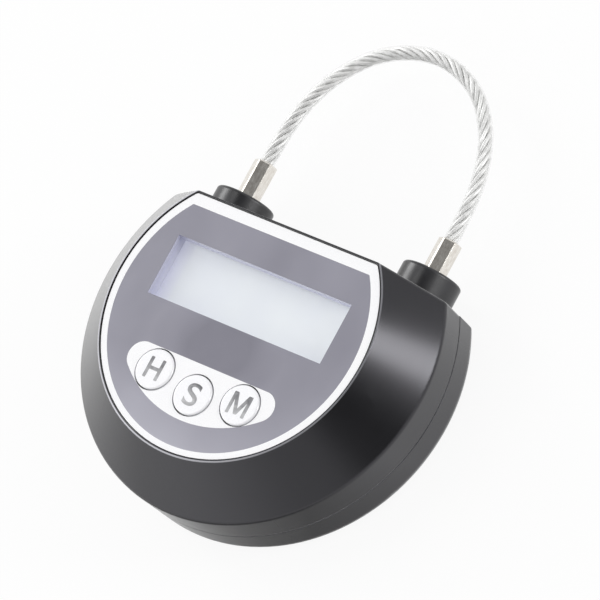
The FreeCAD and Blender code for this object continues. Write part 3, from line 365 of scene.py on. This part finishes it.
def metal(name, colours, roughness, stretch=(1, 1, 1), mark=0.5, depth=0.003):
    """A bare or plated metal part: close tones, and marks of this width that run the way it was worked
    and stand this deep, both in millimetres. They are drawn coarser than a tool leaves them."""
    material, tree, shader = begin(name, colours[0], roughness, {"Metallic": 1.0})
    marks = add(tree, "ShaderNodeTexNoise", {
        "Vector": place_in(tree, stretch), "Scale": 1 / mark, "Detail": 4.0, "Roughness": 0.6})
    colour = add(tree, "ShaderNodeValToRGB", {"Fac": marks},
                 stops=((NOISE_LOW, colours[0]), (NOISE_HIGH, colours[1])))
    gloss = add(tree, "ShaderNodeMapRange", {
        "Value": marks, **FROM_NOISE, "To Min": roughness * 0.7, "To Max": roughness * 1.3})
    relief = add(tree, "ShaderNodeBump", {"Height": marks, "Strength": 1.0, "Distance": depth * MM})
    link(tree, shader, {"Base Color": colour, "Roughness": gloss, "Normal": relief})
    return material


def board_laminate():
    """Green solder mask over copper tracks, which show as slightly raised lighter lines, 2 mm apart."""
    material, tree, shader = begin("board_laminate", "#0F4A27", 0.3, {"IOR": 1.5})
    black, white = (0, 0, 0, 1), (1, 1, 1, 1)
    tracks = add(tree, "ShaderNodeTexBrick", {
        "Vector": place_in(tree), "Scale": 0.25, "Mortar Size": 0.02, "Color1": black, "Color2": black,
        "Mortar": white})
    colour = add(tree, "ShaderNodeValToRGB", {"Fac": tracks}, stops=((0.0, "#0F4A27"), (1.0, "#2A7A46")))
    relief = add(tree, "ShaderNodeBump", {"Height": tracks, "Strength": 1.0, "Distance": 0.03 * MM})
    link(tree, shader, {"Base Color": colour, "Normal": relief})
    return material


def clear_sleeve():
    """Soft clear PVC drawn over the rope: clear in its middle and milky towards its edges, with a wet
    shine."""
    haze_width = 2.2
    material, tree, shader = begin("clear_sleeve", "#F2F2F1", 0.2, {"IOR": 1.53})
    facing = add(tree, "ShaderNodeLayerWeight", {"Blend": 0.35}).outputs["Facing"]
    milky = add(tree, "ShaderNodeMapRange", {
        "Value": facing, "From Min": 0.25, "From Max": 1.0, "To Min": 0.0, "To Max": 0.4})
    haze = add(tree, "ShaderNodeTexNoise", {
        "Vector": place_in(tree), "Scale": 1 / haze_width, "Detail": 3.0})
    gloss = add(tree, "ShaderNodeMapRange", {"Value": haze, **FROM_NOISE, "To Min": 0.16, "To Max": 0.24})
    link(tree, shader, {"Alpha": milky, "Roughness": gloss})
    return material


def strand_steel():
    """Galvanised wire: pale and only half metallic to the eye, because zinc dulls, in even patches."""
    patch_width = 1.2
    material, tree, shader = begin("strand_steel", "#E6E7E9", 0.5, {"Metallic": 0.45})
    patches = add(tree, "ShaderNodeTexNoise", {
        "Vector": place_in(tree), "Scale": 1 / patch_width, "Detail": 3.0})
    colour = add(tree, "ShaderNodeValToRGB", {"Fac": patches},
                 stops=((NOISE_LOW, "#D8D8D7"), (NOISE_HIGH, "#F1F1F0")))
    gloss = add(tree, "ShaderNodeMapRange", {"Value": patches, **FROM_NOISE, "To Min": 0.45, "To Max": 0.55})
    link(tree, shader, {"Base Color": colour, "Roughness": gloss})
    return material


MATERIALS = {
    "black_abs": satin_abs(),
    "printed_sheet": printed_gray(),
    "silver_key": key_paint(),
    "clear_lens": window_acrylic(),
    "display_cell": blank_cell(),
    "board_laminate": board_laminate(),
    "steel_rope": strand_steel(),
    # unpainted ABS of plugs and the motor's end cap: white, matt
    "white_plastic": moulded("white_abs", ("#E4E4F0", "#EEEEF6"), 0.45),
    # acrylic light guide: milky and smooth
    "light_guide": moulded("milky_acrylic", ("#EEF1F4", "#F8FAFC"), 0.3, sockets={"IOR": 1.49}),
    # silicone in conducting layers: dull pink, striped finely
    "contact_rubber": moulded("layered_silicone", ("#8F5560", "#A56C76"), 0.6, patch=0.4),
    # glass-filled nylon of switches, buzzer and socket tongue: black, dull
    "switch_case": moulded("black_nylon", ("#121213", "#1B1B1D"), 0.5),
    # acetal plungers: dark gray, waxy
    "plunger_plastic": moulded("gray_acetal", ("#34343A", "#43434A"), 0.35),
    # moulded epoxy of the chip: near black, dull
    "chip_resin": moulded("black_epoxy", ("#0D0D0E", "#161617"), 0.55),
    # closed-cell foam tape: pale gray, no shine
    "foam_tape": moulded("acrylic_foam", ("#CFCFC8", "#E0E0DA"), 0.9, patch=0.6, grain=0.4),
    # zinc on steel screws: bluish gray, soft shine
    "screw_steel": metal("zinc_plate", ("#9A9A9C", "#B4B4B7"), 0.32),
    # tin on rolled sheet, marked along the roll: light gray
    "tinned_steel": metal("tin_plate", ("#BDBDBF", "#D2D2D4"), 0.28, (1, 8, 1)),
    # laminated aluminium pouch: dull silver with shallow creases across it
    "cell_foil": metal("cell_foil", ("#C2C4C9", "#D6D8DC"), 0.42, (6, 1, 1), mark=1.2, depth=0.02),
    # machined brass, marked along the shaft: yellow
    "gear_brass": metal("gear_brass", ("#B8913F", "#CDA85A"), 0.3, (1, 6, 1)),
    # turned and ground steel pins and shaft: bright, with long fine marks
    "ground_steel": metal("ground_steel", ("#A4A4A8", "#BEBEC2"), 0.2, (0.4, 8, 0.4)),
    # punched and rolled plate of the latch: gray, marked along its travel
    "latch_steel": metal("punched_steel", ("#98989C", "#AEAEB2"), 0.3, (8, 1, 0.6)),
    # die-cast zinc of the socket blocks: gray, dull and slightly pitted
    "zinc_casting": metal("die_cast_zinc", ("#8F9093", "#A6A7AA"), 0.45, mark=0.9, depth=0.01),
    # nickel over crimped brass: warm, bright facets
    "nickel_plate": metal("nickel_plate", ("#DAD4CC", "#F1EEE8"), 0.2, (1, 2.5, 1), mark=0.45, depth=0.004),
}
SILVER_INK = silver_ink()
SLEEVE_PVC = clear_sleeve()


def dress_nodes():
    """Give every carried-over node the material of its slot. The display's frame and the collars have
    their own: the collars are moulded in a slightly grayer, coarser ABS than the case."""
    for part in frame["record"]["subparts"]:
        mesh = nodes[part["node"]].data
        mesh.materials.clear()
        mesh.materials.append(MATERIALS[part["material_slot"]])
    nodes["lcd_frame"].data.materials[0] = frame_abs()
    collar_abs = moulded("collar_abs", ("#19191C", "#232327"), 0.31, patch=4.0, grain=0.3,
                         sockets={"IOR": 1.58})
    for label in ("left", "right"):
        nodes[f"collar_{label}"].data.materials[0] = collar_abs


# ---------------------------------------------------------------- building pieces

def piece(name, bm, material, body):
    """Turn a finished bmesh into a piece that rides on a body."""
    mesh = bpy.data.meshes.new(name)
    bm.to_mesh(mesh)
    bm.free()
    mesh.materials.append(material)
    made = bpy.data.objects.new(name, mesh)
    bpy.context.scene.collection.objects.link(made)
    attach(made, body)
    return made


ARC_STEP = 3                # degrees
MERGED = 1e-7               # metres, below which two points are one


def arc(bm, centre, radius, start, stop):
    """Spin one vertex round a centre; angles in degrees. Returns its first and last vertex."""
    angle = math.radians(start)
    middle = mm(*centre, 0)
    first = bm.verts.new(middle + mm(radius * math.cos(angle), radius * math.sin(angle), 0))
    steps = max(4, round(abs(stop - start) / ARC_STEP))
    spun = bmesh.ops.spin(bm, geom=[first], cent=middle, axis=(0, 0, 1), dvec=(0, 0, 0),
                          angle=math.radians(stop - start), steps=steps, use_duplicate=False)
    return first, next(item for item in spun["geom_last"] if isinstance(item, bmesh.types.BMVert))


def round_with_level_top(bm, centre, radius, top, corner):
    """The edges of a disc whose upper side is cut level, with rounded corners."""
    before = set(bm.edges)
    rise = top - corner - centre[1]
    reach = math.sqrt((radius - corner) ** 2 - rise ** 2)
    turn = math.degrees(math.atan2(rise, reach))
    arcs = [arc(bm, centre, radius, 180 - turn, 360 + turn),
            arc(bm, (centre[0] + reach, centre[1] + rise), corner, turn, 90),
            arc(bm, (centre[0] - reach, centre[1] + rise), corner, 90, 180 - turn)]
    for (_, last), (first, _) in zip(arcs, arcs[1:] + arcs[:1]):
        bm.edges.new((last, first))
    bmesh.ops.remove_doubles(bm, verts=bm.verts, dist=MERGED)
    return [edge for edge in bm.edges if edge not in before]


def thicken_print(bm, level):
    """Lift a flat print to its level and give it the thickness of its ink, facing outwards."""
    bmesh.ops.solidify(bm, geom=bm.faces[:], thickness=INK * MM)
    lowest = min(vertex.co.z for vertex in bm.verts)
    bmesh.ops.translate(bm, verts=bm.verts, vec=(0, 0, level - lowest))
    bmesh.ops.recalc_face_normals(bm, faces=bm.faces)


def key_holes(bm):
    """The edges of the three round holes that the keys come through."""
    before = set(bm.edges)
    for x, y in KEYS.values():
        bmesh.ops.create_circle(bm, segments=72, radius=KEY_HOLE_RADIUS * MM,
                                matrix=Matrix.Translation(mm(x, y, 0)))
    return [edge for edge in bm.edges if edge not in before]


def border_print():
    """The silver border between the sheet's edge and the gray field."""
    bm = bmesh.new()
    outer = round_with_level_top(bm, (0, 0), PANEL_RADIUS, PANEL_TOP, PANEL_CORNER)
    inner = round_with_level_top(bm, FIELD_CENTRE, FIELD_RADIUS, FIELD_TOP, FIELD_CORNER)
    bmesh.ops.bridge_loops(bm, edges=outer + inner)
    thicken_print(bm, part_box("front_panel")[1].z)
    piece("border_print", bm, SILVER_INK, "case")


def key_field_print():
    """The boat-shaped silver field round the keys."""
    bm = bmesh.new()
    edges = round_with_level_top(bm, KEY_FIELD_CENTRE, KEY_FIELD_RADIUS, KEY_FIELD_TOP, KEY_FIELD_CORNER)
    bmesh.ops.triangle_fill(bm, edges=edges + key_holes(bm), use_beauty=True)
    thicken_print(bm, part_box("front_panel")[1].z)
    piece("key_field_print", bm, SILVER_INK, "case")


# Outlines of the straight-stroked letters, in millimetres from their middle
LETTER_H = [(-1.62, -2.0), (-1.62, 2.05), (-0.94, 2.05), (-0.94, 0.35), (0.94, 0.35), (0.94, 2.05),
            (1.62, 2.05), (1.62, -2.0), (0.94, -2.0), (0.94, -0.3), (-0.94, -0.3), (-0.94, -2.0)]
LETTER_M = [(-2.04, -2.1), (-2.04, 2.1), (-1.15, 2.1), (0.0, -0.8), (1.15, 2.1), (2.04, 2.1), (2.04, -2.1),
            (1.36, -2.1), (1.36, 0.75), (0.33, -1.9), (-0.33, -1.9), (-1.36, 0.75), (-1.36, -2.1)]


def straight_letter(corners):
    """A flat letter from its outline, with the corners eased as a printing pad leaves them."""
    bm = bmesh.new()
    bm.faces.new([bm.verts.new(mm(x, y, 0)) for x, y in corners])
    bmesh.ops.bevel(bm, geom=bm.verts[:], offset=LETTER_EASE * MM, offset_type="OFFSET", segments=3,
                    profile=0.5, affect="VERTICES", material=-1)
    bmesh.ops.triangulate(bm, faces=bm.faces)
    return bm


def curved_letter(letter, width, height):
    """A flat letter from the plain built-in face, centred and scaled to its real width and height."""
    text = bpy.data.curves.new("letter", "FONT")
    text.body = letter
    text.offset = 0.012         # thickens the strokes
    text.fill_mode = "FRONT"
    draft = bpy.data.objects.new("letter_draft", text)
    bpy.context.scene.collection.objects.link(draft)
    mesh = bpy.data.meshes.new_from_object(draft.evaluated_get(bpy.context.evaluated_depsgraph_get()))
    bpy.data.objects.remove(draft)
    bm = bmesh.new()
    bm.from_mesh(mesh)
    bmesh.ops.remove_doubles(bm, verts=bm.verts, dist=1e-5)     # in units of the letter's size
    across = [vertex.co.x for vertex in bm.verts]
    along = [vertex.co.y for vertex in bm.verts]
    middle = Vector((min(across) + max(across), min(along) + max(along), 0)) / 2
    bmesh.ops.translate(bm, verts=bm.verts, vec=-middle)
    bmesh.ops.scale(bm, verts=bm.verts, vec=(width * MM / (max(across) - min(across)),
                                             height * MM / (max(along) - min(along)), 1))
    return bm


def legend(key, bm):
    """Print a flat letter on its key's cap."""
    x, y = KEYS[key]
    bmesh.ops.translate(bm, verts=bm.verts, vec=mm(x, y, 0))
    thicken_print(bm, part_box(f"key_{key}")[1].z)
    piece(f"legend_{key}", bm, legend_ink(key), f"{key}_key")


def climb(edge):
    """How far an edge runs along Z."""
    return abs(edge.verts[0].co.z - edge.verts[1].co.z)


def ferrule(label, side):
    """A crimped hexagonal sleeve with softened edges, a bevelled mouth and the bore for the rope."""
    bm = bmesh.new()
    bmesh.ops.create_circle(bm, cap_ends=True, segments=6, radius=FERRULE_CORNER * MM)
    raised = bmesh.ops.extrude_face_region(bm, geom=bm.faces[:])["geom"]
    top = [item for item in raised if isinstance(item, bmesh.types.BMVert)]
    length = FERRULE_LENGTH[label]
    bmesh.ops.translate(bm, verts=top, vec=mm(0, 0, length))
    bm.normal_update()
    ends = [edge for edge in bm.edges if climb(edge) < MERGED]
    bmesh.ops.bevel(bm, geom=ends, offset=END_BEVEL * MM, offset_type="OFFSET", segments=2, profile=0.5,
                    affect="EDGES", material=-1)
    corners = [edge for edge in bm.edges if climb(edge) > length * MM / 2]
    bmesh.ops.bevel(bm, geom=corners, offset=EDGE_BEVEL * MM, offset_type="OFFSET", segments=2, profile=0.5,
                    affect="EDGES", material=-1)
    mouth = max(bm.faces, key=lambda face: face.calc_center_median().z)
    bmesh.ops.inset_individual(bm, faces=[mouth], thickness=MOUTH_INSET * MM)
    centre = mouth.calc_center_median()
    for vertex in mouth.verts:
        vertex.co = centre + (vertex.co - centre).normalized() * (ROPE_RADIUS + BORE_PLAY) * MM
    sunk = bmesh.ops.extrude_discrete_faces(bm, faces=[mouth])["faces"]
    bmesh.ops.translate(bm, verts=sunk[0].verts[:], vec=mm(0, 0, -CRIMP_DEPTH))
    bmesh.ops.recalc_face_normals(bm, faces=bm.faces)
    for face in bm.faces:
        face.smooth = False
    # the circle starts with a corner, 30 degrees from a flat; the ferrule points along Y
    twist = Matrix.Rotation(math.radians(FERRULE_TWIST - 30), 4, "Z")
    lying = Matrix.Rotation(math.radians(-90), 4, "X")
    bmesh.ops.transform(bm, matrix=lying @ twist, verts=bm.verts)
    bmesh.ops.translate(bm, verts=bm.verts, vec=mm(side * SHACKLE_SPREAD, FERRULE_FOOT, SHACKLE_LEVEL))
    made = piece(f"crimped_ferrule_{label}", bm, MATERIALS["nickel_plate"], "shackle")
    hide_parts(f"ferrule_{label}")
    return made


# ---------------------------------------------------------------- the wire rope

# The rope's route: from the left ferrule's crimp to the top of the arch, then the same mirrored
ROPE_HALF = [(-SHACKLE_SPREAD, 25.4), (-SHACKLE_SPREAD, 36.0), (-20.2, 43.9), (-16.6, 51.9), (-10.0, 58.4)]
ROPE_ROUTE = ROPE_HALF + [(0.0, 61.3)] + [(-x, y) for x, y in reversed(ROPE_HALF)]


def rope_line():
    """The rope's centre line as a smooth curve through its route."""
    curve = bpy.data.curves.new("rope_sleeve", "CURVE")
    curve.dimensions = "3D"
    curve.resolution_u = 24
    spline = curve.splines.new("NURBS")
    spline.points.add(len(ROPE_ROUTE) - 1)
    for point, (x, y) in zip(spline.points, ROPE_ROUTE):
        point.co = (*mm(x, y, SHACKLE_LEVEL), 1)
    spline.order_u = 3
    spline.use_endpoint_u = True
    return curve


def points_along(curve):
    """The points of a curve with no bevel, in order."""
    draft = bpy.data.objects.new("route_draft", curve)
    bpy.context.scene.collection.objects.link(draft)
    mesh = bpy.data.meshes.new_from_object(draft.evaluated_get(bpy.context.evaluated_depsgraph_get()))
    bpy.data.objects.remove(draft)
    return [vertex.co.copy() for vertex in mesh.vertices]


STRANDS = 6
STRAND_RADIUS = 0.42
STRAND_RING = 0.82          # from the rope's axis to a strand's
ROPE_LAY = 12.5             # length in which a strand goes once round the rope
WIRE_LOBES = 6              # outer wires that show on a strand
STRAND_LAY = 20.0           # length in which a wire goes once round its strand
WIRE_DEPTH = 0.16           # how deep the grooves between wires are, as a share of the strand's radius
POINTS_PER_LOBE = 4
STEP = 0.25                 # between the sections of a strand


def even_steps(points, step):
    """Places a step apart along a line of points: each with its direction and distance."""
    places, walked, due = [], 0.0, 0.0
    for first, second in zip(points, points[1:]):
        run = second - first
        while due <= walked + run.length:
            places.append((first + run * ((due - walked) / run.length), run.normalized(), due))
            due += step
        walked += run.length
    return places


def strand_ring(bm, place, start_turn):
    """One lobed section of a strand, where its helix passes this place."""
    point, ahead, along = place
    side = ahead.cross(Vector((0, 0, 1))).normalized()
    up = side.cross(ahead)
    turn = start_turn - 2 * math.pi * along / (ROPE_LAY * MM)
    outward = side * math.cos(turn) + up * math.sin(turn)
    across = ahead.cross(outward)
    centre = point + outward * STRAND_RING * MM
    ring = []
    for index in range(WIRE_LOBES * POINTS_PER_LOBE):
        angle = 2 * math.pi * index / (WIRE_LOBES * POINTS_PER_LOBE)
        twist = angle - 2 * math.pi * along / (STRAND_LAY * MM)
        lobe = 1 - WIRE_DEPTH * (1 - abs(math.cos(WIRE_LOBES / 2 * angle)))
        reach = STRAND_RADIUS * lobe * MM
        ring.append(bm.verts.new(centre + outward * math.cos(twist) * reach
                                 + across * math.sin(twist) * reach))
    return ring


def rope_strands(points):
    """Six strands of twisted wire laid round the rope's axis."""
    bm = bmesh.new()
    places = even_steps(points, STEP * MM)
    for strand in range(STRANDS):
        rings = [strand_ring(bm, place, 2 * math.pi * strand / STRANDS) for place in places]
        for ring, following in zip(rings, rings[1:]):
            for index in range(len(ring)):
                beside = (index + 1) % len(ring)
                bm.faces.new((ring[index], ring[beside], following[beside], following[index]))
        bm.faces.new(list(reversed(rings[0])))
        bm.faces.new(rings[-1])
    bmesh.ops.recalc_face_normals(bm, faces=bm.faces)
    for face in bm.faces:
        face.smooth = True
    return piece("rope_strands", bm, MATERIALS["steel_rope"], "shackle")


def wire_rope(ferrules):
    """The clear sleeve with its strands."""
    curve = rope_line()
    points = points_along(curve)
    strands = rope_strands(points)
    curve.bevel_depth = ROPE_RADIUS * MM
    curve.bevel_resolution = 7
    curve.use_fill_caps = True
    curve.materials.append(SLEEVE_PVC)
    sleeve = bpy.data.objects.new("rope_sleeve", curve)
    bpy.context.scene.collection.objects.link(sleeve)
    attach(sleeve, "shackle")
    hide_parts("shackle_rope")


# ---------------------------------------------------------------- floor, lights and camera

FLOOR_RADIUS = 6.0          # metres
FLOOR_GAP = 0.02            # keeps the paper clear of the flat back that lies on it
# painted shade in the floor's reflection, round the lock's foot
GLOSS_SHADE_CENTRE = (6, -46, 0)
GLOSS_SHADE_EDGE = (24, 48)        # the painted shade is full within the first radius and gone past the second
GLOSS_SHADE_DARKNESS = 0.85
PAPER_SEEN = 0.91           # share of plain white in the paper where it is looked at
PAPER_IN_GLOSS = 0.85       # and where it is mirrored


def studio_floor():
    """A pale seamless floor that keeps the soft shadow of what stands on it. In gloss it shows a painted
    shade round the lock's foot, which keeps the black edge there crisp."""
    bm = bmesh.new()
    bmesh.ops.create_circle(bm, cap_ends=True, segments=96, radius=FLOOR_RADIUS)
    bmesh.ops.translate(bm, verts=bm.verts, vec=(0, 0, -FLOOR_GAP * MM))
    mesh = bpy.data.meshes.new("studio_floor")
    bm.to_mesh(mesh)
    bm.free()
    floor = bpy.data.objects.new("studio_floor", mesh)
    bpy.context.scene.collection.objects.link(floor)
    material = bpy.data.materials.new("seamless_paper")
    material.use_nodes = True
    tree = material.node_tree
    tree.nodes.clear()
    ray = add(tree, "ShaderNodeLightPath")
    away = add(tree, "ShaderNodeVectorMath", {0: place_in(tree), 1: GLOSS_SHADE_CENTRE}, operation="DISTANCE")
    # painted shade, seen only in gloss
    painted_gloss_shade = add(tree, "ShaderNodeMapRange", {
        "Value": away, "From Min": GLOSS_SHADE_EDGE[0], "From Max": GLOSS_SHADE_EDGE[1], "To Min": GLOSS_SHADE_DARKNESS,
        "To Max": 0.0})
    dark = add(tree, "ShaderNodeMath", {0: painted_gloss_shade, 1: ray.outputs["Is Glossy Ray"]}, operation="MULTIPLY")
    glow = add(tree, "ShaderNodeMath", {0: 1.0, 1: dark}, operation="SUBTRACT")
    seen = [add(tree, "ShaderNodeMath", {0: ray.outputs[kind], 1: part}, operation="MULTIPLY")
            for kind, part in (("Is Camera Ray", PAPER_SEEN), ("Is Glossy Ray", PAPER_IN_GLOSS),
                               ("Is Transmission Ray", PAPER_SEEN))]
    share = add(tree, "ShaderNodeMath", {0: seen[0], 1: seen[1]}, operation="MAXIMUM")
    share = add(tree, "ShaderNodeMath", {0: share, 1: seen[2]}, operation="MAXIMUM")
    paper = add(tree, "ShaderNodeBsdfDiffuse", {"Color": linear("#F2F2F2")})
    lit = add(tree, "ShaderNodeEmission", {"Color": (1, 1, 1, 1), "Strength": glow})
    mixed = add(tree, "ShaderNodeMixShader", {0: share, 1: paper, 2: lit})
    add(tree, "ShaderNodeOutputMaterial", {"Surface": mixed})
    mesh.materials.append(material)


def direction(azimuth, elevation):
    """A unit vector: azimuth 0 is -Y and 90 is +X, elevation is above the floor, in degrees."""
    turn, rise = math.radians(azimuth), math.radians(elevation)
    return Vector((math.sin(turn) * math.cos(rise), -math.cos(turn) * math.cos(rise), math.sin(rise)))


def studio_world():
    """A pale room: brightest low at the left, dim overhead, with a dark gap at the right."""
    world = bpy.data.worlds.new("studio")
    bpy.context.scene.world = world
    world.use_nodes = True
    tree = world.node_tree
    looking = add(tree, "ShaderNodeTexCoord").outputs["Generated"]

    def zone(middle, outer, inner, around, within):
        """A level that changes between two cosines of the angle from a zone's middle."""
        near = add(tree, "ShaderNodeVectorMath", {0: looking, 1: middle}, operation="DOT_PRODUCT")
        return add(tree, "ShaderNodeMapRange", {
            "Value": near, "From Min": outer, "From Max": inner, "To Min": around, "To Max": within},
            interpolation_type="SMOOTHSTEP")

    # the cosines at the outer and the inner edge, then the levels around the zone and within it
    walls = zone(direction(305, 0), 0.0, 0.85, 0.8, 1.35)
    ceiling = zone(direction(0, 90), 0.7, 0.96, 1.0, 0.3)
    gap = zone(direction(76, 24), 0.9, 0.995, 1.0, 0.14)
    level = add(tree, "ShaderNodeMath", {0: walls, 1: ceiling}, operation="MULTIPLY")
    level = add(tree, "ShaderNodeMath", {0: level, 1: gap}, operation="MULTIPLY")
    link(tree, tree.nodes["Background"], {"Color": linear("#FFFFFF"), "Strength": level})


def softbox(name, azimuth, elevation, distance, width, height, glow):
    """A rectangular white lamp that faces the lock, as bright as its glow at every point; in metres."""
    lamp = bpy.data.lights.new(name, "AREA")
    lamp.shape = "RECTANGLE"
    lamp.size = width
    lamp.size_y = height
    lamp.energy = glow * math.pi * width * height
    made = bpy.data.objects.new(name, lamp)
    bpy.context.scene.collection.objects.link(made)
    towards = direction(azimuth, elevation)
    made.location = LOOK_AT + towards * distance
    made.rotation_euler = towards.to_track_quat("Z", "Y").to_euler()


LOOK_AT = mm(1.805, 9.257, 12.0)
CAMERA_AZIMUTH = 72.80      # degrees, as the two below
CAMERA_ELEVATION = 55.38
CAMERA_ROLL = -47.06
CAMERA_DISTANCE = 1.0972    # metres
CAMERA_LENS = 371.3
CAMERA_SENSOR = 36.0


def camera():
    """A long lens from high at the lock's right, turned about its own axis so that the lock lies aslant."""
    data = bpy.data.cameras.new("camera")
    data.sensor_width = CAMERA_SENSOR
    data.lens = CAMERA_LENS
    made = bpy.data.objects.new("camera", data)
    bpy.context.scene.collection.objects.link(made)
    back = direction(CAMERA_AZIMUTH, CAMERA_ELEVATION)
    made.location = LOOK_AT + back * CAMERA_DISTANCE
    level = back.to_track_quat("Z", "Y").to_matrix().to_4x4()
    roll = Matrix.Rotation(math.radians(CAMERA_ROLL), 4, "Z")
    made.matrix_world = Matrix.Translation(made.location) @ level @ roll
    bpy.context.scene.camera = made


def lights():
    """A tall strip at the right, two softboxes at the left and a small one overhead."""
    # azimuth and elevation, distance, width and height, glow
    softbox("right_strip", 116.1, 19, 1.0, 0.26, 0.6, 7.0)
    softbox("left_box", 257, 30, 1.0, 0.26, 0.4, 6.1)
    softbox("panel_box", 279, 54, 0.95, 0.36, 0.36, 1.6)
    softbox("top_box", 234, 72, 1.0, 0.3, 0.3, 2.1)


camera()
studio_world()
studio_floor()
lights()
dress_nodes()
border_print()
key_field_print()
legend("hour", straight_letter(LETTER_H))
legend("set", curved_letter("S", *LETTER_S))
legend("minute", straight_letter(LETTER_M))
wire_rope([ferrule("left", -1), ferrule("right", 1)])
bpy.context.scene.view_settings.view_transform = "Standard"
